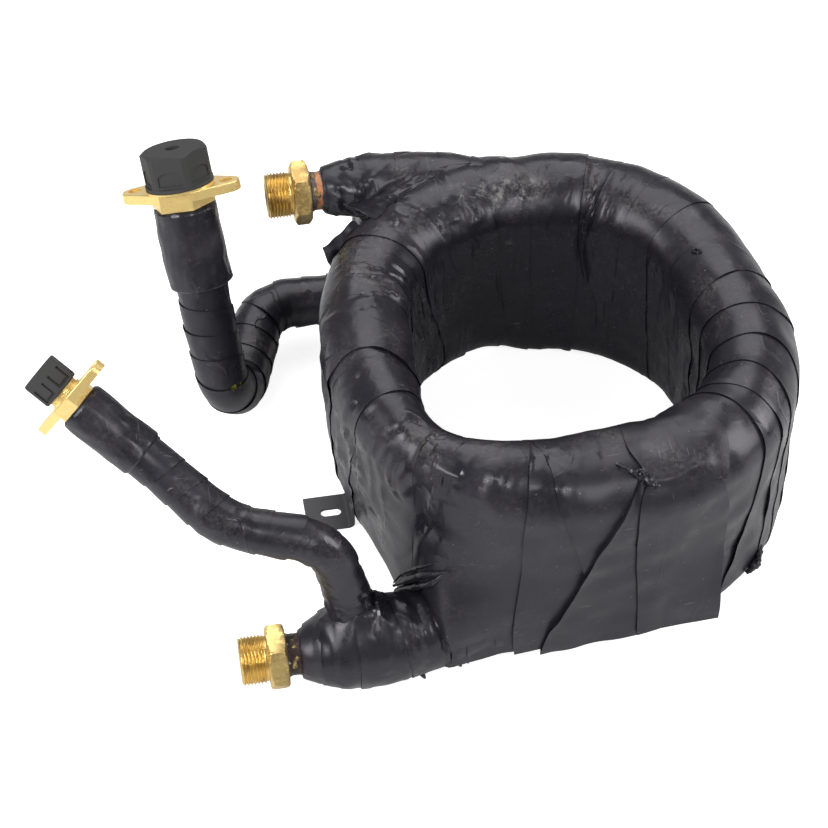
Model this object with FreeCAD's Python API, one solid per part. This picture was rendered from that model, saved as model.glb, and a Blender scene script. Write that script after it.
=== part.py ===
import FreeCAD, Part
import math
import os

V = FreeCAD.Vector
UP = V(0, 0, 1)
OUTWARD = V(-1, 0, 0)

# Coil: a steel jacket tube with the copper water tube inside it, wound on an uneven oval
jacket_od = 32.0
jacket_wall = 2.0
water_tube_od = 22.2
water_tube_wall = 1.1
coil_pitch = 32.8
left_crossings = 3
half_depth = 136.5
left_reach = 131.0
left_run = 10.0
right_reach_front = 138.0
right_reach_back = 109.0
right_run_front = 18.0
right_run_back = 2.0

# Legs: the two tails of the coil, each with a slack double bend before its level end
leg_bend_radius = 80.0
lower_leg_reach = 243.9
lower_leg_bends = (-70.0, -150.0)
lower_leg_shift = V(0, -15.0, -1.5)
upper_leg_reach = 181.0
upper_leg_bends = (-18.0, -80.0)
upper_leg_shift = V(0, 22.5, 11.0)

# Lagging and tape over the coil and its legs
lagging = 14.0
lower_leg_lagging = 12.0
upper_leg_lagging = 7.5
left_underside = 10.0
channel_clearance = 0.8
clearance = 0.3
tape_min = 0.8
tape_step = 0.3
wrap_levels = 3
leg_cone = 26.0
leg_tip_radius = 15.5
leg_wrap = 24.0
floor_gap = 6.0

# Water nipples, G1 pipe thread outside
thread_od = 33.25
thread_length = 18.5
thread_chamfer = 1.4
groove_width = 2.2
groove_depth = 1.7
nipple_hex = 41.0
nipple_hex_height = 13.0
collar_od = 27.5
collar_length = 8.0
nipple_bore = 19.6
socket_depth = 14.0
braze_gap = 0.1
bare_tube = 1.0

# Reducers that close the jacket on to the water tube
reducer_length = 12.0
reducer_wall = 1.8
reducer_setback = 2.0

# Refrigerant pipes: suction is the big one, liquid the small one
suction_od = 18.0
suction_wall = 1.0
suction_lagging = 9.4
suction_tee = 43.0
suction_bend = 34.0
suction_elbow = 30.0
liquid_od = 12.0
liquid_wall = 1.0
liquid_lagging = 8.0
liquid_tee = 39.5
liquid_bend = 36.0
liquid_sweep = 70.0
liquid_ease = 200.0
saddle_wall = 2.5
saddle_height = 4.0
pipe_tape_thin = 0.5
pipe_tape_thick = 1.0
tape_lap = 19.0

# Places that the pipes go through, from the middle of the coil at floor level
suction_places = (V(-100, 174, 35.7), V(-190, 176, 35.7), V(-224, 67, 22), V(-241, 149, 187.7))
liquid_places = (V(-183, -145, 141), V(-243, -133, 158), V(-278, -103, 184), V(-328, -68, 223))
suction_lobe_line = V(0.96, -0.22, 0.19)
liquid_lobe_line = V(0.61, 0.0, 0.79)

# Two-bolt flanges with a threaded spigot each
suction_flange_pcd = 66.5
suction_flange_lobe = 9.6
suction_flange_hole = 9.4
suction_flange_plate = 7.0
suction_flange_hex = 40.0
suction_flange_block = 6.5
suction_spigot_od = 36.0
suction_spigot_length = 19.0
suction_shoulder_od = 49.5
suction_shoulder_height = 1.2
liquid_flange_pcd = 54.0
liquid_flange_lobe = 7.2
liquid_flange_hole = 6.6
liquid_flange_plate = 6.0
liquid_flange_hex = 26.0
liquid_flange_block = 3.5
liquid_spigot_od = 21.4
liquid_spigot_length = 11.6
liquid_shoulder_od = 23.6
liquid_shoulder_height = 1.4

# Thicker sleeves of lagging just under the flanges
suction_sleeve_length = 60.0
suction_sleeve_wall = 3.6
liquid_sleeve_length = 50.0
liquid_sleeve_wall = 1.6

# Screw caps: the big one has a domed nut shape, the small one an open hexagon socket
suction_cap_hex = 44.0
suction_cap_round = 48.6
suction_cap_height = 26.0
suction_cap_top = 3.0
suction_cap_skirt = 2.6
suction_cap_hole = 10.4
suction_cap_panel = (17.0, 10.0, 0.9)
liquid_cap_hex = 25.6
liquid_cap_round = 28.6
liquid_cap_height = 19.0
liquid_cap_gap = 2.8
liquid_cap_socket = 6.0
liquid_cap_rim = 2.0
liquid_cap_web = 2.0
liquid_cap_panel = (10.4, 10.5, 1.1)
liquid_cap_pad = (6.8, 8.6)
disc_thickness = 1.2
disc_inset = 1.0

# Feet: folded plates welded to the side of the lowest turn
foot_length = 34.0
foot_width = 31.0
foot_plate = 2.0
foot_fold = 3.0
foot_web_overlap = 6.0
foot_slot_length = 15.0
foot_slot_width = 7.0
foot_slot_setback = 18.5
left_foot_offset = -7.2

# Flat sheet of tape across the front, and the loose tape end behind
sheet_outline = ((-30.0, 30.0), (80.6, 43.7), (66.0, 150.0), (-30.0, 150.0))
sheet_corner = 3.0
sheet_thickness = 1.2
flap_outline = ((-147.8, 155.8), (-125.0, 175.5), (-110.0, 162.0), (-120.0, 130.0), (-141.8, 133.8))
flap_place = 105.0
flap_thickness = 1.4

# Edges of the tape bands round the coil: polar angle and lean, both in degrees
right_wraps = ((-90, 0), (-76, -10), (-60, 8), (-43, -8), (-25, 10), (-7, -6), (12, 8),
               (31, 12), (50, -6), (70, 6), (90, 0))
left_wraps = ((90, 0), (107, -8), (125, 8), (143, -9), (162, 8), (180, -6), (198, 10),
              (216, 14), (234, 12), (252, 6), (270, 0))

# Sizes that follow from the ones above
jacket_radius = jacket_od / 2
lagging_radius = jacket_radius + lagging
channel_radius = jacket_radius + channel_clearance
tape_max = tape_min + tape_step * (wrap_levels - 1)
half_turns = 2 * left_crossings + 1
coil_tilt = math.degrees(math.asin(coil_pitch / 4 / half_depth))
coil_depth = half_depth * math.cos(math.radians(coil_tilt))
coil_slope = math.tan(math.radians(coil_tilt))
coil_start = lagging_radius + tape_max + floor_gap
coil_end = coil_start + half_turns * coil_pitch / 2
coil_middle = (coil_start + coil_end) / 2
nipple_length = thread_length + nipple_hex_height + collar_length
lagging_setback = nipple_length + bare_tube
reducer_tip = lagging_setback + reducer_setback
jacket_setback = reducer_tip + reducer_length


def disc(radius):
    """A round section that can be set across any path."""
    return lambda point, heading: Part.Face(Part.Wire(Part.makeCircle(radius, point, heading)))


def annulus(outer, inner):
    """A ring section that can be set across any path."""
    return lambda point, heading: disc(outer)(point, heading).cut(disc(inner)(point, heading)).Faces[0]


def stadium(radius, bottom, top):
    """A tall section with round ends, centred on a level path; bottom and top are the arc centres."""
    def across(point, heading):
        side = heading.cross(UP).normalize() * radius
        low = V(point.x, point.y, bottom)
        high = V(point.x, point.y, top)
        arc_low = Part.Arc(low - side, low - UP * radius, low + side).toShape()
        arc_high = Part.Arc(high + side, high + UP * radius, high - side).toShape()
        wall_out = Part.LineSegment(low + side, high + side).toShape()
        wall_in = Part.LineSegment(high - side, low - side).toShape()
        return Part.Face(Part.Wire([arc_low, wall_out, arc_high, wall_in]))
    return across


def route(points, radii):
    """Straight runs through the points, joined by a tangent bend at each inner point."""
    edges = []
    last = points[0]
    for before, corner, after, radius in zip(points, points[1:], points[2:], radii):
        arriving = (corner - before).normalize()
        leaving = (after - corner).normalize()
        half_turn = arriving.getAngle(leaving) / 2
        cut = radius * math.tan(half_turn)
        inward = (leaving - arriving).normalize()
        middle = corner + inward * (radius / math.cos(half_turn) - radius)
        edges.append(Part.LineSegment(last, corner - arriving * cut).toShape())
        edges.append(Part.Arc(corner - arriving * cut, middle, corner + leaving * cut).toShape())
        last = corner + leaving * cut
    edges.append(Part.LineSegment(last, points[-1]).toShape())
    return edges


def sweep(path, section):
    """Extrude the section along the runs, revolve it round the bends, and join the pieces."""
    pieces = []
    for edge in path:
        start = edge.valueAt(edge.FirstParameter)
        face = section(start, edge.tangentAt(edge.FirstParameter))
        if edge.Curve.TypeId == "Part::GeomLine":
            pieces.append(face.extrude(edge.valueAt(edge.LastParameter) - start))
        else:
            angle = math.degrees(edge.LastParameter - edge.FirstParameter)
            pieces.append(face.revolve(edge.Curve.Center, edge.Curve.Axis, angle))
    return join(pieces)


def join(shapes):
    """One solid from shapes that meet."""
    if len(shapes) == 1:
        return shapes[0]
    fused = shapes[0].multiFuse(list(shapes[1:]))
    return fused.Solids[0] if len(fused.Solids) == 1 else fused


def single(shape):
    """The one solid of a result, or its largest where a cut left crumbs."""
    return max(shape.Solids, key=lambda solid: solid.Volume)


def turned(profile):
    """A solid of revolution about Z from a closed outline of (radius, height) pairs."""
    corners = [V(radius, 0, height) for radius, height in profile]
    face = Part.Face(Part.makePolygon(corners + corners[:1]))
    return face.revolve(V(0, 0, 0), UP, 360)


def hexagon(flats, height, bottom=0.0):
    """A hexagonal prism about Z, with flats facing plus and minus Y."""
    reach = flats / math.sqrt(3)
    corners = [V(reach * math.cos(math.radians(a)), reach * math.sin(math.radians(a)), bottom)
               for a in range(0, 361, 60)]
    return Part.Face(Part.makePolygon(corners)).extrude(UP * height)


def placed(shape, point, axis, across=None):
    """Stand a shape that was drawn about Z at a point, along an axis, with X turned to a line."""
    axis = V(axis).normalize()
    if across is None:
        rotation = FreeCAD.Rotation(UP, axis)
    else:
        flat = across - axis * across.dot(axis)
        flat.normalize()
        rotation = FreeCAD.Rotation(flat, axis.cross(flat), axis, "ZXY")
    result = shape.copy()
    result.Placement = FreeCAD.Placement(point, rotation).multiply(result.Placement)
    return result


def bend_radius(before, corner, after, cut):
    """The radius of the bend that takes this much off both runs at a corner."""
    half_turn = (corner - before).getAngle(after - corner) / 2
    return cut / math.tan(half_turn)


def plan_path(side, depth):
    """One half of the coil seen from above, in the direction in which it is wound."""
    if side == "right":
        corners = (V(0, -depth, 0), V(right_reach_front, -depth, 0),
                   V(right_reach_back, depth, 0), V(0, depth, 0))
        cuts = (right_reach_front - right_run_front, right_reach_back - right_run_back)
    else:
        corners = (V(0, depth, 0), V(-left_reach, depth, 0), V(-left_reach, -depth, 0), V(0, -depth, 0))
        cuts = (left_reach - left_run, left_reach - left_run)
    radii = [bend_radius(*corners[n:n + 3], cuts[n]) for n in (0, 1)]
    return route(corners, radii)


def turn_path(number):
    """The centre line of one half turn; even ones run up the right, odd ones up the left."""
    side, tilt = ("left", -coil_tilt) if number % 2 else ("right", coil_tilt)
    path = plan_path(side, half_depth)
    for edge in path:
        edge.rotate(V(0, 0, 0), V(1, 0, 0), tilt)
        edge.translate(UP * (coil_start + coil_pitch / 4 + number * coil_pitch / 2))
    return path


def leg_points(side):
    """Where a leg leaves the coil, its two bends, and the middle of its nipple's face."""
    if side == "lower":
        start = V(0, -coil_depth, coil_start)
        reach, bends, shift = lower_leg_reach, lower_leg_bends, lower_leg_shift
    else:
        start = V(0, coil_depth, coil_end)
        reach, bends, shift = upper_leg_reach, upper_leg_bends, upper_leg_shift
    return (start, start + V(bends[0], 0, 0), start + shift + V(bends[1], 0, 0),
            start + shift + V(-reach, 0, 0))


def leg_point(side, setback):
    """A point on the last, level run of a leg, measured back from its nipple's face."""
    return leg_points(side)[-1] + V(setback, 0, 0)


def leg_path(side, setback):
    """The centre line of a leg from the coil, ended short of the nipple's face."""
    return route(leg_points(side)[:-1] + (leg_point(side, setback),), (leg_bend_radius, leg_bend_radius))


def channel_wall(side):
    """The space for the turns on one half of the coil, sloped as they are."""
    lowest = coil_start + coil_pitch / 4 + (coil_pitch / 2 if side == "left" else 0)
    crossings = left_crossings + (0 if side == "left" else 1)
    path = plan_path(side, coil_depth)
    wall = sweep(path, stadium(channel_radius, lowest, lowest + (crossings - 1) * coil_pitch))
    slope = FreeCAD.Matrix()
    slope.A32 = -coil_slope if side == "left" else coil_slope
    return wall.transformGeometry(slope)


def lagging_wall(side, extra):
    """The outside of the lagging on one half of the coil, packed out level and grown by extra."""
    bottom = coil_start + (left_underside if side == "left" else 0)
    return sweep(plan_path(side, coil_depth), stadium(lagging_radius + extra, bottom, coil_end))


def leg_radius(side):
    """The outer radius of a leg's lagging."""
    return jacket_radius + (lower_leg_lagging if side == "lower" else upper_leg_lagging)


def leg_envelope(side, extra):
    """The outside of a leg's lagging, grown by extra: a long round bar with a domed end."""
    radius = leg_radius(side) + extra
    tip = leg_tip_radius + extra
    body = sweep(leg_path(side, lagging_setback + leg_cone), disc(radius))
    corners = (V(0, 0, 0), V(radius, 0, 0), V(tip, 0, leg_cone), V(0, 0, leg_cone))
    bulge = V(tip + 0.72 * (radius - tip), 0, 0.62 * leg_cone)
    outline = [Part.LineSegment(corners[0], corners[1]).toShape(),
               Part.Arc(corners[1], bulge, corners[2]).toShape(),
               Part.LineSegment(corners[2], corners[3]).toShape(),
               Part.LineSegment(corners[3], corners[0]).toShape()]
    dome = Part.Face(Part.Wire(outline)).revolve(V(0, 0, 0), UP, 360)
    return join([body, placed(dome, leg_point(side, lagging_setback + leg_cone), OUTWARD)])


def leg_core(side, gap):
    """Space for the jacket, its reducer and the water tube in a leg, with a gap all round."""
    jacket = sweep(leg_path(side, jacket_setback), disc(jacket_radius + gap))
    end = leg_point(side, jacket_setback)
    reducer = Part.makeCylinder(jacket_radius + gap, reducer_length + gap, end, OUTWARD)
    tube = Part.makeCylinder(water_tube_od / 2 + gap, nipple_length, end, OUTWARD)
    return join([jacket, reducer, tube])


def tee_point(side):
    """Where a refrigerant pipe's centre line meets its leg's centre line."""
    return leg_point(side, (suction_tee if side == "upper" else liquid_tee) + nipple_length)


def pipe_points(side, start_gap, end_gap):
    """The corners of a refrigerant pipe, begun off the leg's centre line and ended short."""
    places = suction_places if side == "upper" else liquid_places
    tee = tee_point(side)
    first = tee + (places[0] - tee).normalize() * start_gap
    last = places[-1] - (places[-1] - places[-2]).normalize() * end_gap
    return [first] + list(places[:-1]) + [last]


def pipe_path(side, start_gap, end_gap):
    """The centre line of a refrigerant pipe."""
    radii = (suction_bend, suction_bend, suction_elbow)
    if side == "lower":
        radii = (liquid_bend, liquid_sweep, liquid_ease)
    return route(pipe_points(side, start_gap, end_gap), radii)


def pipe_axis(side):
    """The direction in which a refrigerant pipe ends, which is its flange's axis."""
    places = suction_places if side == "upper" else liquid_places
    return (places[-1] - places[-2]).normalize()


def coil_path(setback):
    """The whole centre line, nipple to nipple, ended short at both ends by the setback."""
    start, first, second = leg_points("lower")[:-1]
    path = route((leg_point("lower", setback), second, first, start), (leg_bend_radius, leg_bend_radius))
    for number in range(half_turns):
        path += turn_path(number)
    return path + leg_path("upper", setback)


def stub_hole(side, extra):
    """A straight plug along the first run of a refrigerant pipe."""
    radius = (suction_od if side == "upper" else liquid_od) / 2
    tee = tee_point(side)
    first = pipe_points(side, 0, 0)[1]
    length = lagging_radius * 2
    return Part.makeCylinder(radius + extra, length, tee, first - tee)


def saddle_space(side):
    """The space round a refrigerant pipe and its brazed collar."""
    radius = (suction_od if side == "upper" else liquid_od) / 2 + braze_gap + saddle_wall
    tee = tee_point(side)
    first = pipe_points(side, 0, 0)[1]
    height = jacket_radius + saddle_height + clearance
    collar = Part.makeCylinder(radius + clearance, height, tee, first - tee)
    return join([stub_hole(side, clearance), collar])


def make_jacket_coil():
    tube = sweep(coil_path(jacket_setback), annulus(jacket_radius, jacket_radius - jacket_wall))
    return tube.cut([stub_hole("lower", braze_gap), stub_hole("upper", braze_gap)])


def make_water_tube():
    setback = nipple_length - socket_depth
    radius = water_tube_od / 2
    return sweep(coil_path(setback), annulus(radius, radius - water_tube_wall))


def make_reducer(side):
    """A coned collar brazed on the jacket's end and round the water tube."""
    bore = water_tube_od / 2 + braze_gap
    tip = bore + reducer_wall
    profile = ((bore, 0), (jacket_radius, 0), (jacket_radius, 2), (tip, reducer_length - 3),
               (tip, reducer_length), (bore, reducer_length))
    return placed(turned(profile), leg_point(side, jacket_setback), OUTWARD)


def make_nipple(side):
    """Brass nipple: solder collar, chamfered hexagon, groove and the plain form of the thread."""
    bore = nipple_bore / 2
    socket = water_tube_od / 2 + braze_gap
    hex_top = collar_length + nipple_hex_height
    body = turned(((bore, 0), (collar_od / 2, 0), (collar_od / 2, hex_top - 1),
                   (thread_od / 2 - groove_depth, hex_top - 1),
                   (thread_od / 2 - groove_depth, hex_top + groove_width),
                   (thread_od / 2, hex_top + groove_width + groove_depth),
                   (thread_od / 2, nipple_length - thread_chamfer),
                   (thread_od / 2 - thread_chamfer, nipple_length), (bore, nipple_length)))
    reach = nipple_hex / math.sqrt(3)
    face = nipple_hex / 2 * 0.96
    bevel = (reach - face) * math.tan(math.radians(30))
    crown = turned(((0, collar_length), (face, collar_length), (reach, collar_length + bevel),
                    (reach, hex_top - bevel), (face, hex_top), (0, hex_top)))
    nut = hexagon(nipple_hex, nipple_hex_height, collar_length).common(crown)
    hollow = join([Part.makeCylinder(bore, nipple_length),
                   Part.makeCylinder(socket, socket_depth)])
    solid = body.fuse(nut).cut(hollow)
    return placed(single(solid), leg_point(side, nipple_length), OUTWARD, V(0, 1, 0))


def make_saddle(side):
    """A short brazed collar where a refrigerant pipe enters the jacket."""
    radius = (suction_od if side == "upper" else liquid_od) / 2 + braze_gap
    tee = tee_point(side)
    first = pipe_points(side, 0, 0)[1]
    height = jacket_radius + saddle_height
    collar = Part.makeCylinder(radius + saddle_wall, height, tee, first - tee)
    hole = Part.makeCylinder(radius, height, tee, first - tee)
    jacket = sweep(leg_path(side, jacket_setback), disc(jacket_radius))
    return single(collar.cut([hole, jacket]))


def make_pipe(side):
    """The bare copper pipe, from just inside the jacket's wall to the flange's socket."""
    od, wall = (suction_od, suction_wall) if side == "upper" else (liquid_od, liquid_wall)
    path = pipe_path(side, jacket_radius - jacket_wall / 2, 0)
    return single(sweep(path, annulus(od / 2, od / 2 - wall)))


def flange_sizes(side):
    """Flange sizes in the order in which they are used below."""
    if side == "upper":
        return (suction_flange_pcd, suction_flange_lobe, suction_flange_hole, suction_flange_plate,
                suction_flange_hex, suction_flange_block, suction_spigot_od, suction_spigot_length,
                suction_shoulder_od, suction_shoulder_height)
    return (liquid_flange_pcd, liquid_flange_lobe, liquid_flange_hole, liquid_flange_plate,
            liquid_flange_hex, liquid_flange_block, liquid_spigot_od, liquid_spigot_length,
            liquid_shoulder_od, liquid_shoulder_height)


def flange_plate(pcd, lobe, flats, thickness):
    """Two round lobes drawn out of a hexagon's flats by straight tapering sides."""
    reach = flats / 2 / math.sqrt(3)
    half = pcd / 2
    away = math.hypot(reach - half, flats / 2)
    angle = math.atan2(flats / 2, reach - half) - math.acos(lobe / away)
    tangent = V(half + lobe * math.cos(angle), lobe * math.sin(angle), 0)
    points = [V(reach, flats / 2, 0), tangent]
    tip = V(half + lobe, 0, 0)
    outline = [Part.LineSegment(V(-reach, flats / 2, 0), points[0]).toShape(),
               Part.LineSegment(points[0], tangent).toShape(),
               Part.Arc(tangent, tip, V(tangent.x, -tangent.y, 0)).toShape(),
               Part.LineSegment(V(tangent.x, -tangent.y, 0), V(reach, -flats / 2, 0)).toShape(),
               Part.LineSegment(V(reach, -flats / 2, 0), V(-reach, -flats / 2, 0)).toShape(),
               Part.LineSegment(V(-reach, -flats / 2, 0), V(-tangent.x, -tangent.y, 0)).toShape(),
               Part.Arc(V(-tangent.x, -tangent.y, 0), -tip, V(-tangent.x, tangent.y, 0)).toShape(),
               Part.LineSegment(V(-tangent.x, tangent.y, 0), V(-reach, flats / 2, 0)).toShape()]
    plate = Part.Face(Part.Wire(outline)).extrude(UP * thickness)
    plate.translate(UP * (-thickness / 2))
    return plate


def make_flange(side):
    """One brass forging: lobed plate, hexagon block below it, shoulder and spigot above it."""
    (pcd, lobe, hole, thickness, flats, block, spigot_od, spigot_length,
     shoulder_od, shoulder_height) = flange_sizes(side)
    od, wall = (suction_od, suction_wall) if side == "upper" else (liquid_od, liquid_wall)
    plate = flange_plate(pcd, lobe, flats, thickness)
    top = thickness / 2
    rim = [edge for edge in plate.Edges if abs(edge.CenterOfMass.z - top) < 0.01]
    plate = plate.makeFillet(0.8, rim)
    hexagon_block = hexagon(flats, thickness / 2 + block, -thickness / 2 - block)
    shoulder = Part.makeCylinder(shoulder_od / 2, shoulder_height, V(0, 0, top))
    spigot = Part.makeCylinder(spigot_od / 2, spigot_length, V(0, 0, top))
    spigot = spigot.makeChamfer(1.0, [max(spigot.Edges, key=lambda edge: edge.CenterOfMass.z)])
    through = Part.makeCylinder(od / 2 - wall, 200, V(0, 0, -100))
    socket = Part.makeCylinder(od / 2 + braze_gap, 100, V(0, 0, -100))
    holes = [Part.makeCylinder(hole / 2, 100, V(x, 0, -50)) for x in (-pcd / 2, pcd / 2)]
    solid = join([plate, hexagon_block, shoulder, spigot]).cut([through, socket] + holes)
    return placed_on_flange(single(solid), side)


def placed_on_flange(shape, side):
    """Move a shape from the flange's own frame to the end of its pipe."""
    places = suction_places if side == "upper" else liquid_places
    line = suction_lobe_line if side == "upper" else liquid_lobe_line
    return placed(shape, places[-1], pipe_axis(side), line)


def around(shape, angle_offset):
    """Six copies of a shape, one for each side of a hexagon."""
    copies = []
    for number in range(6):
        copy = shape.copy()
        copy.rotate(V(0, 0, 0), UP, angle_offset + 60 * number)
        copies.append(copy)
    return copies


def arched_panel(width, height, depth, flats, bottom):
    """A tool that sinks a panel with an arched top into the flat that faces plus Y."""
    half = width / 2
    y = flats / 2 - depth
    arch = height * 0.3
    corners = (V(-half, y, bottom), V(half, y, bottom), V(half, y, bottom + height - arch),
               V(0, y, bottom + height), V(-half, y, bottom + height - arch))
    edges = [Part.LineSegment(corners[4], corners[0]).toShape(),
             Part.LineSegment(corners[0], corners[1]).toShape(),
             Part.LineSegment(corners[1], corners[2]).toShape(),
             Part.Arc(corners[2], corners[3], corners[4]).toShape()]
    return Part.Face(Part.Wire(edges)).extrude(V(0, 2 * depth, 0))


def make_suction_cap():
    """Moulded cap: round skirt, six sunk panels, bevelled crown and a peep hole in the top."""
    base = suction_flange_plate / 2 + suction_shoulder_height + clearance
    reach = suction_cap_hex / math.sqrt(3)
    crown_face = suction_cap_hex / 2 * 0.97
    bevel = (reach - crown_face) * math.tan(math.radians(28))
    crown = turned(((0, 0), (suction_cap_round / 2, 0), (suction_cap_round / 2, suction_cap_height - bevel),
                    (crown_face, suction_cap_height), (0, suction_cap_height)))
    body = hexagon(suction_cap_hex, suction_cap_height).common(crown)
    skirt = Part.makeCylinder(suction_cap_round / 2, suction_cap_skirt)
    body = body.fuse(skirt)
    width, height, depth = suction_cap_panel
    panel = arched_panel(width, height, depth, suction_cap_hex, suction_cap_skirt + 2)
    bore = Part.makeCylinder(suction_spigot_od / 2 + clearance, suction_cap_height - suction_cap_top)
    hole = Part.makeCylinder(suction_cap_hole / 2, suction_cap_height)
    body = body.cut(around(panel, 0) + [bore, hole])
    body = single(body)
    body.translate(UP * base)
    return placed_on_flange(body, "upper")


def make_liquid_cap():
    """Moulded cap: six grooved sides round a pad each, open socket in the end."""
    base = liquid_flange_plate / 2 + liquid_shoulder_height + liquid_cap_gap
    reach = liquid_cap_hex / math.sqrt(3)
    crown_face = liquid_cap_hex / 2 * 0.98
    bevel = (reach - crown_face) * math.tan(math.radians(30))
    crown = turned(((0, 0), (crown_face, 0), (liquid_cap_round / 2, bevel),
                    (liquid_cap_round / 2, liquid_cap_height - bevel),
                    (crown_face, liquid_cap_height), (0, liquid_cap_height)))
    body = hexagon(liquid_cap_hex, liquid_cap_height).common(crown)
    width, height, depth = liquid_cap_panel
    pad_width, pad_height = liquid_cap_pad
    panel = Part.makeBox(width, 2 * depth, height, V(-width / 2, liquid_cap_hex / 2 - depth, 2))
    pad = Part.makeBox(pad_width, 4 * depth, pad_height,
                       V(-pad_width / 2, liquid_cap_hex / 2 - 2 * depth, 2 + height - pad_height))
    groove = panel.cut(pad)
    socket_bottom = liquid_cap_height - liquid_cap_socket
    bore = Part.makeCylinder(liquid_spigot_od / 2 + clearance / 2, socket_bottom - liquid_cap_web)
    socket = Part.makeCylinder(liquid_cap_hex / 2 - liquid_cap_rim, liquid_cap_socket,
                               V(0, 0, socket_bottom))
    body = single(body.cut(around(groove, 0) + [bore, socket]))
    body.translate(UP * base)
    return placed_on_flange(body, "lower")


def make_seal_disc(side):
    """A copper sealing disc between the spigot's end and the cap's floor."""
    thickness, spigot_length = (suction_flange_plate, suction_spigot_length)
    radius = suction_spigot_od / 2 - disc_inset
    if side == "lower":
        thickness, spigot_length = (liquid_flange_plate, liquid_spigot_length)
        radius = liquid_spigot_od / 2 - disc_inset
    seal = Part.makeCylinder(radius, disc_thickness, V(0, 0, thickness / 2 + spigot_length))
    return placed_on_flange(seal, side)


def lapped_run(start, end, inner, outer_thin, outer_thick):
    """A skin of tape along a straight run, stepped at every lap."""
    length = (end - start).Length
    laps = max(1, round(length / tape_lap))
    lap = length / laps
    profile = [(inner, 0)]
    for number in range(laps):
        profile.append((outer_thick, number * lap))
        profile.append((outer_thin, (number + 1) * lap))
    profile.append((inner, length))
    return placed(turned(profile), start, end - start)


def lapped_skin(path, inner):
    """Tape wound along a pipe: lapped on the runs, plain round the bends."""
    thin = inner + pipe_tape_thin
    thick = inner + pipe_tape_thick
    pieces = []
    for edge in path:
        start = edge.valueAt(edge.FirstParameter)
        end = edge.valueAt(edge.LastParameter)
        if edge.Curve.TypeId == "Part::GeomLine":
            pieces.append(lapped_run(start, end, inner, thin, thick))
        else:
            pieces.append(sweep([edge], annulus((thin + thick) / 2, inner)))
    return join(pieces)


def pipe_lagging_sizes(side):
    """Radii of the pipe and of its lagging, and how far under the flange the lagging ends."""
    if side == "upper":
        block = suction_flange_plate / 2 + suction_flange_block
        return suction_od / 2, suction_od / 2 + suction_lagging, block
    block = liquid_flange_plate / 2 + liquid_flange_block
    return liquid_od / 2, liquid_od / 2 + liquid_lagging, block


def make_pipe_lagging(side, cutters):
    """Foam tube on a refrigerant pipe, coped to the taped leg that it starts from."""
    pipe_radius, radius, block = pipe_lagging_sizes(side)
    path = pipe_path(side, jacket_radius, block + clearance)
    tube = sweep(path, annulus(radius, pipe_radius + clearance))
    return single(tube.cut(cutters))


def make_pipe_tape(side, cutters):
    """The tape on that foam tube."""
    radius, block = pipe_lagging_sizes(side)[1:]
    path = pipe_path(side, jacket_radius, block + clearance)
    return single(lapped_skin(path, radius).cut(cutters))


def make_sleeve(side):
    """A second, short layer of lagging under the flange, its lower edge rounded off."""
    radius, block = pipe_lagging_sizes(side)[1:]
    length, wall = (suction_sleeve_length, suction_sleeve_wall)
    if side == "lower":
        length, wall = (liquid_sleeve_length, liquid_sleeve_wall)
    inner = radius + pipe_tape_thick
    outer = radius + wall + pipe_tape_thick
    top = -block - clearance
    soft = wall * 0.4
    profile = ((inner, top), (outer - soft, top), (outer, top - soft), (outer, top - length + soft),
               (outer - soft, top - length), (inner, top - length))
    return placed_on_flange(turned(profile), side)


def foot_blank(height):
    """A folded foot drawn at the origin: web in the XZ plane, plate running out along plus Y."""
    outer = foot_fold + foot_plate
    profile = [Part.LineSegment(V(0, 0, height), V(0, 0, outer)).toShape(),
               Part.Arc(V(0, 0, outer), V(0, outer - outer * math.cos(math.radians(45)),
                                          outer - outer * math.sin(math.radians(45))),
                        V(0, outer, 0)).toShape(),
               Part.LineSegment(V(0, outer, 0), V(0, foot_length, 0)).toShape(),
               Part.LineSegment(V(0, foot_length, 0), V(0, foot_length, foot_plate)).toShape(),
               Part.LineSegment(V(0, foot_length, foot_plate), V(0, outer, foot_plate)).toShape(),
               Part.Arc(V(0, outer, foot_plate),
                        V(0, outer - foot_fold * math.cos(math.radians(45)),
                          outer - foot_fold * math.sin(math.radians(45))),
                        V(0, foot_plate, outer)).toShape(),
               Part.LineSegment(V(0, foot_plate, outer), V(0, foot_plate, height)).toShape(),
               Part.LineSegment(V(0, foot_plate, height), V(0, 0, height)).toShape()]
    plate = Part.Face(Part.Wire(profile)).extrude(V(foot_width, 0, 0))
    plate.translate(V(-foot_width / 2, 0, 0))
    half = (foot_slot_length - foot_slot_width) / 2
    middle = foot_length - foot_slot_setback
    ends = [Part.makeCylinder(foot_slot_width / 2, 20, V(0, middle + y, -10)) for y in (-half, half)]
    waist = Part.makeBox(foot_slot_width, 2 * half, 20, V(-foot_slot_width / 2, middle - half, -10))
    return plate.cut(ends + [waist])


def foot_places():
    """For each foot: where its web stands, which way its plate points, and the web's height."""
    left_level = coil_start + coil_pitch * 3 / 4 - coil_slope * left_foot_offset
    rear_level = coil_start + coil_pitch / 2
    left = (V(-left_reach - jacket_radius - clearance, left_foot_offset, 0), 90, left_level)
    rear = (V(0, coil_depth + jacket_radius + clearance, 0), 0, rear_level)
    return {"foot_left": left, "foot_rear": rear}


def make_foot(name, grow=0.0):
    """A foot in its place; grown, it is the slot that the lagging and tape need round it."""
    point, angle, level = foot_places()[name]
    height = level + foot_web_overlap
    if grow:
        blank = Part.makeBox(foot_width + 2 * grow, foot_plate + 2 * grow, height + 2 * grow,
                             V(-foot_width / 2 - grow, -grow, -grow))
    else:
        blank = foot_blank(height)
    blank.rotate(V(0, 0, 0), UP, angle)
    blank.translate(point)
    return blank


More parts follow.
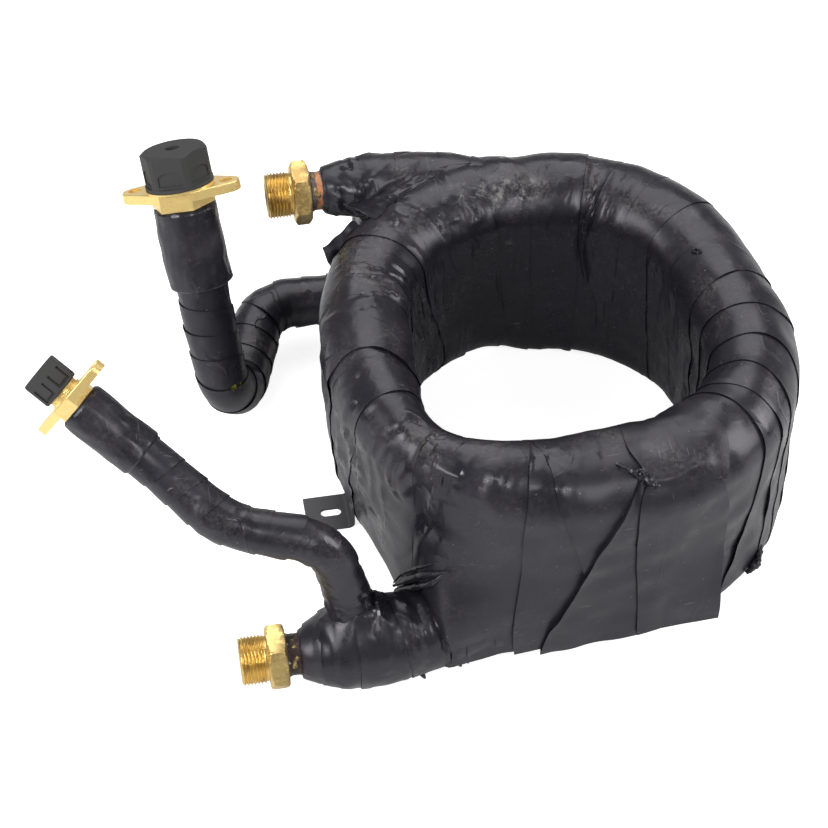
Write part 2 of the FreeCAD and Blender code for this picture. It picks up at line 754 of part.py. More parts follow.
def half_space(angle, lean, ahead):
    """A great block on one side of a leaning plane through the coil's middle."""
    size = 700.0
    polar = math.radians(angle)
    tip = math.radians(lean)
    normal = V(-math.sin(polar) * math.cos(tip), math.cos(polar) * math.cos(tip), -math.sin(tip))
    block = Part.makeBox(size, size, size, V(-size / 2, -size / 2, 0))
    return placed(block, V(0, 0, coil_middle), normal if ahead else -normal)


def make_ring_tape(cutters):
    """The tape round the coil: bands between leaning planes, each wound to its own thickness."""
    bands = []
    for side, wraps in (("right", right_wraps), ("left", left_wraps)):
        bare = lagging_wall(side, 0)
        skins = [lagging_wall(side, tape_min + tape_step * level).cut(bare)
                 for level in range(wrap_levels)]
        for number, (edge, following) in enumerate(zip(wraps, wraps[1:])):
            skin = skins[(2 * number) % wrap_levels]
            wedge = half_space(*edge, True).common(half_space(*following, False))
            bands.append(single(skin.common(wedge).cut(cutters[side])))
    return join(bands)


def make_leg_lagging(side, ring_left, cutters):
    """Foam tube on a leg, coned at its end and coped to the coil's lagging."""
    return single(leg_envelope(side, 0).cut([ring_left, leg_core(side, channel_clearance)] + cutters))


def make_leg_tape(side, ring_taped, cutters):
    """Tape on a leg, in bands of two thicknesses, drawn in over the coned end."""
    skin = leg_envelope(side, tape_min)
    dome_base = lagging_setback + leg_cone
    level_run = leg_points(side)[2].x - leg_point(side, dome_base).x - leg_bend_radius * 0.25
    bands = max(1, int(level_run // (2 * leg_wrap)))
    raised = []
    for number in range(bands):
        start = leg_point(side, dome_base + leg_wrap * (2 * number + 1))
        raised.append(Part.makeCylinder(leg_radius(side) + tape_min + tape_step, leg_wrap, start, OUTWARD))
    whole = join([skin] + raised)
    hollow = [leg_envelope(side, 0), leg_core(side, channel_clearance), ring_taped]
    return single(whole.cut(hollow + cutters))


def upright_plate(outline, y, thickness):
    """A flat plate that faces minus Y, from its (x, z) outline."""
    corners = [V(x, y, z) for x, z in outline]
    return Part.Face(Part.makePolygon(corners + corners[:1])).extrude(V(0, thickness, 0))


def make_front_sheet(cutters):
    """A flat sheet of tape drawn across the front of the coil and its lower leg."""
    y = -coil_depth - lagging_radius - tape_max - clearance - sheet_thickness
    sheet = upright_plate(sheet_outline, y, sheet_thickness)
    corners = [edge for edge in sheet.Edges
               if abs(edge.tangentAt(0).y) > 0.9 and edge.CenterOfMass.x > 0]
    return single(sheet.makeFillet(sheet_corner, corners).cut(cutters))


def make_flap(cutters):
    """The loose end of a wrap, a corner of tape that stands off behind the coil."""
    return single(upright_plate(flap_outline, flap_place, flap_thickness).cut(cutters))


def make_all():
    """Every piece by its name, drawn about the middle of the coil at floor level."""
    ring_right = lagging_wall("right", 0)
    ring_left = lagging_wall("left", 0)
    ring_taped = lagging_wall("left", tape_max)
    channels = [channel_wall("right"), channel_wall("left")]
    cores = {side: leg_core(side, channel_clearance) for side in ("lower", "upper")}
    stub_cuts = [saddle_space(side) for side in ("lower", "upper")]
    foot_cuts = [make_foot(name, clearance) for name in foot_places()]
    pipe_cuts = {"lower": [leg_envelope("lower", tape_min + tape_step + clearance)],
                 "upper": [leg_envelope("upper", tape_min + tape_step + clearance),
                           lagging_wall("left", tape_max + clearance)]}
    leg_tape_outsides = [leg_envelope(side, tape_min + tape_step) for side in ("lower", "upper")]

    parts = {}
    parts["jacket_coil"] = make_jacket_coil()
    parts["water_tube"] = make_water_tube()
    for side, pipe_name in (("lower", "liquid"), ("upper", "suction")):
        parts["jacket_reducer_" + side] = make_reducer(side)
        parts["water_nipple_" + side] = make_nipple(side)
        parts[pipe_name + "_saddle"] = make_saddle(side)
        parts[pipe_name + "_pipe"] = make_pipe(side)
        parts[pipe_name + "_flange"] = make_flange(side)
        parts[pipe_name + "_seal_disc"] = make_seal_disc(side)
        parts[pipe_name + "_lagging"] = make_pipe_lagging(side, pipe_cuts[side])
        parts[pipe_name + "_tape"] = make_pipe_tape(side, pipe_cuts[side])
        parts[pipe_name + "_sleeve"] = make_sleeve(side)
    parts["suction_cap"] = make_suction_cap()
    parts["liquid_cap"] = make_liquid_cap()
    for name in foot_places():
        parts[name] = make_foot(name)

    ring = join([ring_right, ring_left])
    parts["coil_lagging"] = single(ring.cut(channels + list(cores.values()) + foot_cuts))
    for side in ("lower", "upper"):
        parts["leg_lagging_" + side] = make_leg_lagging(side, ring_left, stub_cuts)
    parts["coil_tape"] = make_ring_tape({"right": foot_cuts, "left": leg_tape_outsides + foot_cuts})
    for side in ("lower", "upper"):
        parts["leg_tape_" + side] = make_leg_tape(side, ring_taped, stub_cuts)
    parts["front_tape_sheet"] = make_front_sheet([leg_tape_outsides[0]])
    parts["loose_tape_end"] = make_flap([ring_taped, leg_tape_outsides[1]])
    return parts


def main():
    """Set the origin under the middle of the whole part, and write each piece."""
    parts = make_all()
    box = Part.makeCompound(list(parts.values())).optimalBoundingBox()
    origin = V(box.Center.x, box.Center.y, box.ZMin)
    os.makedirs("parts", exist_ok=True)
    for name, shape in parts.items():
        shape.translate(-origin)
        shape.exportStep("parts/" + name + ".step")


if __name__ == "__main__":
    main()
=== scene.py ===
"""Heat pump heat exchanger: a lagged, tape-wound coil with its pipes, flanges, caps and feet."""

import math

import bpy
import numpy as np
from bpy.props import FloatProperty, FloatVectorProperty, IntProperty, PointerProperty
from mathutils import Matrix, Vector


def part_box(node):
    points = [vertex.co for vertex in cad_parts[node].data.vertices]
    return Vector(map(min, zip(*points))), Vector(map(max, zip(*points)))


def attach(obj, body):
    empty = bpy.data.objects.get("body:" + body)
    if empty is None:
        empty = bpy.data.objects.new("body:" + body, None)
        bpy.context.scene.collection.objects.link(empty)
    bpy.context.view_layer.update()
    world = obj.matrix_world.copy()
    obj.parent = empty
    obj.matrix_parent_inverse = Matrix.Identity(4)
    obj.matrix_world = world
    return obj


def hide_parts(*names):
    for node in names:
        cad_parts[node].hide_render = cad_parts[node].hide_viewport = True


bl_info = {
    "name": "Heat exchanger",
    "version": (1, 0, 0),
    "blender": (4, 5, 0),
    "location": "3D View > Sidebar > Heat exchanger",
    "description": "Builds the tape, foam, metal and caps of a coiled heat exchanger on its frame",
    "category": "Object",
}

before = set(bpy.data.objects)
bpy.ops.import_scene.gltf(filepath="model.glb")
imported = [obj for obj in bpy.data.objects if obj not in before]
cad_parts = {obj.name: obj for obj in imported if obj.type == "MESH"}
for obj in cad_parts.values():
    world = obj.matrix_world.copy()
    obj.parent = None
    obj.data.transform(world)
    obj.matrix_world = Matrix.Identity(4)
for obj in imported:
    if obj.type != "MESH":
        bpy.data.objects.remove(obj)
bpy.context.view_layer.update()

TAU = 2 * math.pi

# The coil's middle at floor level, found from the nodes that stand at known places round it
FOOT_WEB = -147.3
foot_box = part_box("foot_left")
ring_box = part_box("coil_lagging")
MIDDLE = np.array([foot_box[1].x * 1000 - FOOT_WEB, (ring_box[0].y + ring_box[1].y) * 500, 0.0])

# The plan of the coil in millimetres: corners of the half turns and how much each bend takes off them
HALF_DEPTH = 136.25
PLAN = ((0, -HALF_DEPTH), (138, -HALF_DEPTH), (109, HALF_DEPTH), (0, HALF_DEPTH),
        (-131, HALF_DEPTH), (-131, -HALF_DEPTH), (0, -HALF_DEPTH))
PLAN_CUTS = (120, 107, 0, 121, 121)
LOWEST_TURN = 37.4
HIGHEST_TURN = 152.2
UNDERSIDE_STEP = 10.0
RING_RADIUS = 30.0

# Legs and pipes: places that their centre lines turn at, and the radii of the bends
NIPPLE_LENGTH = 39.5
LEG_SETBACK = NIPPLE_LENGTH + 1.0
LEG_BEND = 80.0
LOWER_LEG = ((-243.9, -151.25, 35.9), (-150, -151.25, 35.9), (-70, -136.25, 37.4), (0, -136.25, 37.4))
UPPER_LEG = ((-181.0, 158.75, 163.2), (-80, 158.75, 163.2), (-18, 136.25, 152.2), (0, 136.25, 152.2))
UPPER_LEG_SAG = ((-62, 157, 160.5), (-6, 139, 156), (20, 136.25, 153.5))
LOWER_TEE = (-162.0, -139.0, 37.0)
UPPER_TEE = (-98.5, 158.75, 163.2)
SUCTION_PLACES = ((-100, 174, 35.7), (-190, 176, 35.7), (-224, 67, 22), (-241, 149, 187.7))
SUCTION_BENDS = (34.0, 34.0, 30.0)
LIQUID_PLACES = ((-179, -145, 141), (-243, -133, 158), (-278, -103, 184), (-328, -68, 223))
LIQUID_BENDS = (36.0, 70.0, 200.0)
# For each refrigerant pipe: where it starts, its places and bends, the line of its flange's lobes, the
# radius of the pipe and of its lagging, how far the lagging ends short of the flange, the seed of its
# creases, how far along the wide start reaches, the sleeve's wall, length and seed, and the spigot
# thread's bottom, top and outer radius
PIPES = {
    "suction": {
        "tee": UPPER_TEE,
        "places": SUCTION_PLACES,
        "bends": SUCTION_BENDS,
        "lobes": (0.96, -0.22, 0.19),
        "radius": 9.0,
        "lagging": 18.4,
        "short": 10.3,
        "seed": 23,
        "wide_start": 20.0,
        "sleeve": (3.6, 60.0, 51),
        "thread": (4.72, 7.4, 18.2),
    },
    "liquid": {
        "tee": LOWER_TEE,
        "places": LIQUID_PLACES,
        "bends": LIQUID_BENDS,
        "lobes": (0.61, 0.0, 0.79),
        "radius": 6.0,
        "lagging": 14.0,
        "short": 6.8,
        "seed": 29,
        "wide_start": 27.0,
        "sleeve": (1.6, 50.0, 57),
        "thread": (4.42, 8.4, 10.85),
    },
}

# How much wider the pipes' wide start is, and over what distance it falls away
PIPE_FLARE = (3.5, 9.0)

# The wrapped legs: radius, length of the cone at the round end, radius of that end, how full the cone is
# (1 is straight) and seed
LEG_RADII = {"lower": 28.0, "upper": 22.8}
LEG_CONES = {"lower": 30.0, "upper": 36.0}
LEG_TIP = 15.5
CONE_CURVE = 0.75
LEG_SEEDS = {"lower": 11, "upper": 17}
# Gathered tape at the lower leg's branch: u, v, height, radius of its flat top and how fast it falls
LOWER_BULGE = (42.0, 0.30, 12.0, 13.0, 8.0)
# Where the laps on the lower leg start; on the upper leg they are even
LOWER_LAPS = (1.5, 14, 38, 66, 92, 106, 125, 150)
LEG_OVERLAP = 9.0
# The end of a leg's wrap round the nipple, as height and radius
LEG_END = ((0.0, 15.4), (0.2, 14.2), (0.0, 11.4))

# Smoothing along the coil's line, its heading, its swell, a tube's heading, and round a band's edge
LINE_BLUR = 6.0
HEADING_BLUR = 8.0
SWELL_BLUR = 12.0
TUBE_BLUR = 4.0
EDGE_BLUR = 0.028
# Where the lowest turn's underside steps up in front and behind, as x and width of the step
FRONT_STEP = (-92.0, 5.0)
REAR_STEP = (-4.0, 9.0)
# Millimetres of the coil's section to each step of v, and the size of a cell in a table of folds
SECTION_UNIT = 104.0
RELIEF_CELL = 1.25
# How far the wrap is uneven: broad slack and small dents on the coil, dents on the tubes
SLACK_HEIGHT = 0.6
DENT_HEIGHT = 0.3
TUBE_DENT_HEIGHT = 0.35
# Folds on a tube grow to their full height over this distance from its end
FOLD_START = 12.0
# How deep the plain skin under the bands lies on the coil, and on the legs and pipes
COIL_UNDERWRAP = 2.2
TUBE_UNDERWRAP = 0.7

# How much fuller or slacker the wrap is than an even round section, by distance along the coil:
# outer wall at its top and bottom, inner wall at its top and bottom, and how far its underside is raised
SWELL = (
    (0, 0, 0, 10, 0, 4), (21, 0, 0, 11, 0, 6), (40, 0, 0, 11, 0, 8), (56, 0, 0, 8, 0, 8),
    (75, 0, 0, 11, 0, 8), (110, 0, 2, 6, 0, 4), (150, 0, 1, 0, -4, 0), (200, 0, 0, 0, -7, 0),
    (250, -3, 0, 0, -9, 0), (300, 5, 0, 0, -8, 0), (350, 6, 0, 0, -3, 0), (400, 2, 0, 0, 0, 0),
    (440, 5, 0, 0, 0, 0), (480, 4, 0, 0, 0, 0), (520, 0, 0, 0, 0, 0), (640, 0, -3, 0, 0, 0),
    (680, 0, -9, -5, -4, 0), (712, 0, -9, -14, -9, 0), (725, 0, -5, -17, -10, 0),
    (735, 0, 7, -18, -10, 0), (748, 0, 13, -18, -10, 0), (764, 0, 15, -12, -9, 0),
    (782, 0, 9, -4, -8, 0), (803, 0, 1, 2, -4, 0), (820, 0, 0, 3, 0, 0), (838, 0, 0, 7, 0, 2),
)

# Edges of the bands round the coil, as distance along the coil at seven places round its section:
# outer bottom, outer middle, outer top, crown, inner top, inner bottom and underside
BAND_EDGES = (
    (73, 84, 91, 103, 88, 84, 78), (102, 104, 106, 117, 106, 104, 102),
    (118, 119, 121, 141, 134, 130, 124), (142, 144, 148, 168, 163, 158, 150),
    (178, 181, 184, 196, 199, 195, 186), (214, 217, 222, 226, 216, 210, 214),
    (246, 250, 257, 262, 264, 258, 250), (283, 286, 292, 297, 300, 292, 287),
    (318, 320, 324, 328, 332, 338, 326), (350, 352, 356, 357, 366, 350, 350),
    (378, 378, 378, 375, 374, 371, 374), (424, 426, 428, 426, 420, 412, 418),
    (455, 456, 458, 455, 450, 436, 446), (470, 472, 474, 487, 500, 478, 474),
    (546, 548, 551, 551, 543, 503, 522), (564, 565, 563, 563, 556, 520, 542),
    (590, 586, 578, 577, 590, 556, 572), (612, 612, 610, 606, 607, 582, 598),
    (640, 648, 657, 654, 686, 676, 655), (674, 683, 696, 697, 705, 702, 686),
    (712, 719, 723, 730, 738, 734, 722), (745, 745, 742, 741, 760, 765, 750),
    (768, 766, 762, 758, 776, 780, 772), (818, 820, 826, 833, 838, 832, 822),
    (905, 905, 905, 905, 905, 905, 905),
)
BAND_PLACES = (0.0, 0.5, 1.0, 1.5, 2.0, 3.0, 3.5)
# The bands of each side. Both edges of the middle one are shown, and the last one closes the ring.
COIL_SIDES = {
    "coil_bands_right": range(0, 8), "coil_bands_back": range(8, 16), "coil_bands_left": range(16, 25),
}
MIDDLE_BAND = 13
LAST_BAND = 24
LAST_BAND_SEED = 180
# How high a band's shown edge stands, where it isn't the usual height
EDGE_FACTORS = {
    3: 1.2, 4: 1.2, 6: 0.25, 7: 0.6, 8: 0.3, 9: 0.4, 14: 0.25, 15: 0.4, 16: 0.3, 17: 1.1, 18: 0.5, 19: 0.0,
    20: 0.12, 21: 0.0, 22: 0.0, 23: 0.0, 24: 0.0,
}

# Folds in the tape: points (u, v) on the skin, height and width in millimetres. A fold with a fourth
# value is a step that falls away over that distance on its left.
COIL_FOLDS = (
    # pulled together in front of the lower leg
    (((-146, 1.02), (-144, 0.87), (-145, 0.57), (-145, 0.46)), 1.5, 2.4),
    (((-139, 1.06), (-134, 0.90), (-134, 0.70), (-134, 0.50)), 1.6, 2.6),
    (((-127, 1.00), (-125, 0.88), (-121, 0.76)), 1.4, 1.5),
    (((-127, 0.86), (-117, 0.82)), -1.6, 1.6),
    (((-121, 0.76), (-111, 0.97), (-104, 1.11), (-99, 1.21)), 1.5, 0.9, 16),
    (((-147, 0.38), (-145, 0.34)), -3.0, 3.4),
    (((-110, 1.16), (-111, 1.28), (-111, 1.41), (-112, 1.61)), 1.9, 1.6),
    (((-107, 1.14), (-106, 1.29), (-109, 1.47), (-112, 1.62)), -1.7, 1.3),
    (((-103, 1.14), (-101, 1.31), (-107, 1.54)), 1.5, 1.6),
    (((-136, 1.47), (-135, 1.55), (-126, 1.60), (-119, 1.59)), 1.9, 2.0),
    (((-131, 1.44), (-130, 1.52), (-122, 1.55)), -1.4, 1.6),
    (((-135, 1.33), (-133, 1.45), (-132, 1.52)), 1.2, 2.2),
    (((-160, 0.86), (-160, 0.73), (-159, 0.66)), -3.2, 2.0),
    (((-156, 0.90), (-156, 0.72), (-153, 0.60)), 1.5, 2.2),
    # fanned out over the rolled fold
    (((-118, 0.03), (-108, 0.20), (-98, 0.34)), 1.2, 1.4),
    (((-112, 0.03), (-100, 0.20), (-93, 0.30)), -1.2, 1.1),
    (((-120, 0.10), (-106, 0.30), (-99, 0.44)), 1.0, 1.5),
    (((-122, 0.18), (-112, 0.34), (-106, 0.50)), -0.8, 1.6),
    # back left, over the crown and down the inside
    (((480, 1.58), (465, 1.76), (466, 1.84), (476, 1.86)), 1.8, 2.6),
    (((497, 1.75), (482, 1.79)), 1.2, 2.4),
    (((514, 1.27), (522, 1.41), (528, 1.50), (532, 1.59)), 1.6, 1.9),
    (((526, 1.29), (530, 1.44), (539, 1.65)), -1.4, 1.7),
    (((520, 1.30), (527, 1.46), (536, 1.62)), 1.3, 1.6),
    (((552, 1.95), (532, 2.41), (518, 2.69)), 1.3, 2.2),
    (((574, 2.25), (552, 2.62), (550, 2.89)), 1.5, 2.0),
    (((560, 2.10), (540, 2.50), (532, 2.80)), -1.2, 2.0),
    (((590, 1.80), (578, 2.20), (566, 2.60)), 1.0, 2.2),
    # the big folds at the back
    (((426, 1.50), (425, 1.69), (417, 1.78)), 1.6, 2.2),
    (((376, 1.40), (374, 1.60), (374, 1.90)), 1.6, 2.4),
    (((360, 1.36), (357, 1.58), (361, 1.80), (368, 2.11), (364, 2.36), (354, 2.68)), 2.6, 2.4),
    (((365, 1.50), (364, 1.75), (373, 2.10), (369, 2.40)), -2.2, 2.0),
    (((345, 1.40), (346, 1.65), (352, 1.95)), 1.4, 2.2),
    (((448, 2.30), (444, 2.60), (438, 2.85)), -1.6, 1.6),
    (((358, 2.49), (352, 2.68), (350, 2.9)), -1.6, 1.5),
    # the crown over the front sheets
    (((36, 1.64), (54, 1.61), (68, 1.58)), 0.7, 1.0, 12),
    (((12, 1.30), (35, 1.25), (51, 1.28), (62, 1.20)), 1.3, 3.2),
    (((-100, 1.30), (-92, 1.25), (-80, 1.28)), 1.6, 4.0),
    (((-84, 1.42), (-84, 1.25), (-86, 1.02)), 1.3, 2.4), (((-76, 1.45), (-75, 1.22), (-77, 1.00)), -1.1, 2.0),
    (((-67, 1.44), (-68, 1.24), (-66, 1.05)), 1.2, 2.2), (((-59, 1.42), (-60, 1.22), (-58, 1.02)), -0.9, 1.8),
    (((-72, 1.42), (-66, 1.30), (-58, 1.20)), 0.9, 3.0),
)
# seed, how many, u from and to, v from and to, run of each line (u, v), height, width
COIL_CREASES = (
    (1, 90, (0, 853), (0.1, 2.9), (6, 0.5), 0.3, 1.7),
    (2, 60, (500, 625), (1.05, 2.3), (-12, 0.6), 1.5, 1.7),
    (3, 38, (618, 700), (0.05, 1.2), (4, 0.6), 1.6, 2.2),
    (4, 30, (700, 760), (0.3, 1.6), (7, 0.4), 1.2, 1.7),
    (5, 40, (170, 300), (1.75, 2.9), (6, 0.5), 1.6, 2.2),
    (6, 34, (330, 500), (1.2, 1.9), (4, 0.35), 1.4, 2.0),
    (7, 36, (330, 560), (1.9, 2.9), (3, 0.7), 1.3, 1.8),
    (8, 40, (765, 850), (0.95, 1.5), (3, 0.3), 1.1, 1.7),
    (9, 34, (600, 760), (1.9, 2.9), (3, 0.7), 1.1, 1.8),
    (10, 30, (20, 100), (1.0, 1.7), (3, 0.3), 0.7, 2.2),
)
LEG_FOLDS = {
    "lower": (
        (((92, 0.36), (89, 0.21), (90, 0.07), (92, -0.08)), -2.6, 1.5),
        (((95, 0.35), (92, 0.21), (93, 0.07), (94, -0.04)), 1.6, 1.3),
        (((98, 0.34), (95, 0.22), (96, 0.07), (97, -0.08)), -2.6, 1.4),
        (((102, 0.34), (99, 0.22), (99, 0.07)), 1.6, 1.4),
        (((105, 0.33), (102, 0.22), (101, 0.07)), -1.8, 1.3),
        (((70, 0.37), (67, 0.22), (65, 0.14), (62, -0.02)), 1.0, 0.9, 14),
        (((62, 0.38), (54, 0.27), (52, 0.20), (54, 0.12)), 1.9, 2.0),
        (((58, 0.36), (50, 0.26), (49, 0.18)), -1.5, 1.6),
        (((45, 0.36), (42, 0.27), (34, 0.17), (33, 0.08)), 1.2, 1.8),
        (((30, 0.35), (14, 0.28), (9, 0.16), (8, 0.01)), 1.0, 1.0, 12),
        (((14, 0.30), (12, 0.15), (11, -0.02)), 1.5, 2.6),
        (((22, 0.28), (20, 0.12), (19, -0.02)), -1.2, 2.4),
        (((38, 0.22), (37, 0.10), (36, -0.04)), 1.6, 3.0),
        (((56, 0.30), (53, 0.15), (52, 0.00)), 1.4, 2.6),
        (((74, 0.34), (72, 0.16), (71, -0.02)), 1.8, 3.2),
        (((82, 0.34), (80, 0.16), (79, -0.02)), -1.4, 2.4),
    ),
    "upper": (
        (((2, 0.22), (8, 0.12), (9, 0.0), (12, -0.1)), 1.3, 1.6),
        (((6, 0.30), (12, 0.17), (14, 0.0), (17, -0.1)), -1.3, 1.5),
        (((12, 0.34), (18, 0.2), (22, 0.0), (24, -0.12)), 1.1, 1.7),
        (((30, 0.34), (33, 0.19), (36, 0.1), (40, 0.0)), 1.0, 1.5),
        (((19, -0.13), (40, 0.09), (59, 0.16), (80, 0.3)), 1.3, 1.0, 16),
        (((19, -0.04), (31, 0.12), (46, 0.21), (60, 0.32)), 1.0, 1.0, 14),
    ),
}
LEG_CREASES = {
    "lower": (
        (11, 40, (44, 80), (0.15, 0.5), (8, -0.1), 1.4, 1.5),
        (12, 50, (5, 120), (-0.2, 0.5), (4, -0.16), 0.9, 1.8),
    ),
    "upper": (
        (13, 44, (1, 26), (-0.3, 0.5), (8, -0.1), 1.4, 1.3),
        (14, 34, (20, 90), (-0.1, 0.5), (16, 0.12), 0.9, 1.5),
    ),
}
# The same for both pipes, each seed added to the pipe's own
PIPE_CREASES = (
    (0, 70, (10, 290), (0.0, 1.0), (7, 0.16), 0.8, 1.5),
    (1, 40, (20, 48), (0.0, 1.0), (16, 0.05), 1.4, 1.3),
)

# The sheets across the front: shown edge, other edge, height at each, how far the shown edge curls up.
# They are the middle one, the left one, the slanted one, the wavy one under the tear and the right one.
FRONT_SHEETS = (
    (((-50, -0.14), (-51, 0.05), (-51, 0.21), (-48, 0.58), (-48, 0.88), (-47, 1.2), (-50, 1.58),
      (-52, 1.76)),
     ((4, -0.11), (4, 0.05), (4, 0.21), (4, 0.58), (4, 0.88), (4, 1.2), (4, 1.58), (4, 1.76)),
     2.5, 0.5, 0.5),
    (((-30, -0.14), (-31, 0.05), (-31, 0.21), (-28, 0.58), (-28, 0.88), (-27, 1.2), (-30, 1.58),
      (-32, 1.76)),
     ((-108, -0.15), (-108, 0.0), (-107, 0.2), (-102, 0.6), (-98, 0.9), (-99, 1.18), (-98, 1.4),
      (-95, 1.62)),
     0.9, -0.7, 0.0),
    (((-8, 0.30), (-15, 0.56), (-22, 0.85), (-31, 1.17), (-37, 1.43), (-51, 1.69), (-60, 1.85)),
     ((8, 0.30), (8, 0.56), (10, 0.85), (14, 1.17), (20, 1.43), (22, 1.69), (24, 1.85)),
     3.1, 0.9, 0.4),
    (((-36, -0.17), (-32, 0.05), (-26, 0.20), (-15, 0.55), (-9, 0.74), (-3, 0.88), (4, 1.04), (10, 1.17),
      (15, 1.26), (17, 1.34)),
     ((30, -0.09), (30, 0.1), (30, 0.25), (28, 0.55), (27, 0.74), (27, 0.88), (27, 1.04), (26, 1.17),
      (26, 1.26), (26, 1.34)),
     3.6, 2.4, 1.4),
    (((21, -0.07), (19, 0.3), (16, 0.6), (14, 0.98), (14.5, 1.11), (17, 1.2), (21, 1.27), (18, 1.36),
      (14, 1.49), (16, 1.74), (18, 1.9)),
     ((67, -0.04), (67, 0.3), (67, 0.6), (66, 0.9), (63, 1.06), (63, 1.12), (67, 1.19), (72, 1.28),
      (78, 1.41), (80, 1.6), (80, 1.9)),
     4.5, 3.2, 0.5),
)
# They follow the coil down to SHEET_FOOT and come away from its wall between HANG_TOP and HANG_RUN below
# it, from HANG_START on over HANG_FADE millimetres, out to HANG_REACH, and further over the lower leg
SHEET_FOOT = 0.03
HANG_TOP = 0.62
HANG_RUN = 0.52
HANG_START = -107
HANG_FADE = 22
HANG_REACH = 28.6
LEG_PUSH = 15
LEG_PUSH_START = -70
LEG_PUSH_RUN = 80

# The rolled fold where the left wall's tape is drawn over the lower leg, from the pleat above it to the
# lowest roll: places in millimetres and the radius along each
ROLLED_FOLDS = (
    (((-134.5, -117, 54), (-128, -119.5, 67), (-118.5, -132, 87), (-109, -140, 100)),
     (0.7, 1.7, 1.5, 0.3)),
    (((-134.5, -118, 52), (-127.5, -124, 64), (-120, -133.5, 79.5), (-112, -142, 91), (-102, -147, 98)),
     (1.4, 2.3, 2.5, 2.0, 0.4)),
    (((-133, -120.5, 49), (-125.5, -128.5, 61), (-119, -137, 73), (-112.5, -144.5, 85), (-103, -143.5, 95)),
     (2.0, 2.9, 2.8, 2.1, 0.6)),
)
# The small roll under the coil at the right, and torn bits on the coil: places (u, v, height), the radius
# along each, its seed and how crumpled it is
RIGHT_ROLL = (
    ((108, 0.12, 0), (103, 0.06, 2.5), (98, 0.02, 3.5), (93, -0.02, 2)), (0.8, 2.4, 3.0, 1.2), 305, 0.2,
)
TORN_BITS = (
    (((4, 1.385, 2.0), (9, 1.35, 4.2), (14, 1.31, 5.5), (19, 1.28, 6.2), (23, 1.25, 5.2), (26, 1.22, 3.2)),
     (0.3, 0.8, 1.3, 2.3, 2.8, 1.4), 311, 0.45),
    (((14, 1.33, 3.0), (18, 1.30, 6.5), (22, 1.28, 6.0)), (0.8, 2.2, 0.9), 315, 0.45),
    (((472, 1.30, 0.0), (476, 1.27, 2.6), (480, 1.24, 1.0)), (1.2, 2.8, 1.0), 319, 0.45),
    (((252, 1.62, 0.0), (255, 1.66, 1.8), (258, 1.70, 0.0)), (0.8, 1.6, 0.8), 323, 0.45),
    (((58, 1.17, 2.0), (61, 1.14, 4.4), (63, 1.11, 3.0)), (0.5, 1.2, 0.4), 327, 0.45),
)
# Small torn ticks that stand off the lower leg's laps, by (u, v), and the step from point to point of one
LEG_TICKS = ((75, 0.90), (101, 0.90), (106, 0.91), (125, 0.90), (143, 0.91))
TICK_STEP = (0.35, -0.45, -0.5)
# The film of tape between the upper leg and the coil: where its edge starts on each, how far it runs
# there (u, v), its height over each, and the way it bulges
BRIDGE_ON_LEG = ((16, 0.02), (92, 0.24), 0.5)
BRIDGE_ON_COIL = ((534, 1.36), (-86, 0), 0.7)
BRIDGE_OUTWARD = (-0.2, -0.5, 0.84)
# The loose corner of tape behind the upper leg: (x, z) along its upper and lower edge, the y it stands
# at, the height it bends round and how much it bends
CORNER_TOP = ((-147.8, 155.8), (-136, 166.5), (-125, 175.5), (-110, 163))
CORNER_LOW = ((-141.8, 133.8), (-134, 132), (-126, 131), (-112, 130))
CORNER_Y = 105.5
CORNER_MIDDLE = 150
CORNER_BEND = 0.009

# The nipples, heights from the foot and radii in millimetres: G1 outside thread on a 41 mm hexagon
HEXAGON_FLATS = 41.0
HEXAGON_FACE = HEXAGON_FLATS / 2 * 0.955
HEXAGON_CHAMFER = 28
HEXAGON_HEIGHTS = (8.0, 8.3, 8.7, 9.2, 9.8, 10.5, 14.5, 18.5, 19.2, 19.8, 20.3, 20.7, 21.0)
NIPPLE_FOOT = ((0.0, 11.25), (0.0, 13.2), (0.5, 13.75), (8.0, 13.75), (8.0, HEXAGON_FACE - 0.6))
NIPPLE_NECK = ((21.0, 16.2), (21.05, 15.1), (22.4, 15.0))
NIPPLE_THREAD = {"bottom": 22.6, "top": 39.3, "crest": 16.6, "depth": 1.45, "pitch": 2.309, "fade": 2.0}
NIPPLE_BORE = ((39.5, 14.9), (39.5, 10.6), (38.9, 9.85), (34, 9.8), (24, 9.8), (14.2, 9.8), (14.0, 11.2))
# The brazed collar behind each: from and to which height, its radius, and its two beads as height,
# width and how far they stand up
COLLAR_HEIGHTS = (-1.4, 8.1)
COLLAR_RADIUS = 13.85
COLLAR_BEADS = ((7.6, 1.3, 0.9), (-1.0, 1.5, 0.4))
COLLAR_SEEDS = {"lower": 61, "upper": 67}
TO_THE_LEFT = (-1, 0, 0)
TO_THE_BACK = (0, 1, 0)

# Colours that aren't among the settings
TAPE_SCRATCH = (0.26, 0.25, 0.23)
TAPE_CHALK = (0.40, 0.39, 0.37)
PAINT_FLECK = (0.46, 0.44, 0.03)
METAL_DUST = (0.30, 0.25, 0.18)
PLASTIC_DUST = (0.22, 0.20, 0.17)
PLASTIC_SCRATCH = (0.25, 0.25, 0.25)
FOAM_TONES = ((0.055, 0.053, 0.050), (0.16, 0.15, 0.135))
BRASS_DULL = (0.50, 0.33, 0.12)
BRASS_BURNT = (0.06, 0.042, 0.028)
FORGING_DULL = (0.74, 0.51, 0.19)
COPPER_TONES = ((0.36, 0.16, 0.09), (0.05, 0.03, 0.025))
STEEL_TONES = ((0.30, 0.29, 0.28), (0.16, 0.14, 0.12), (0.05, 0.03, 0.02))
FOOT_PAINT = (0.030, 0.030, 0.032)
UPPER_COLLAR_TONES = ((0.17, 0.15, 0.14), (0.05, 0.045, 0.045))
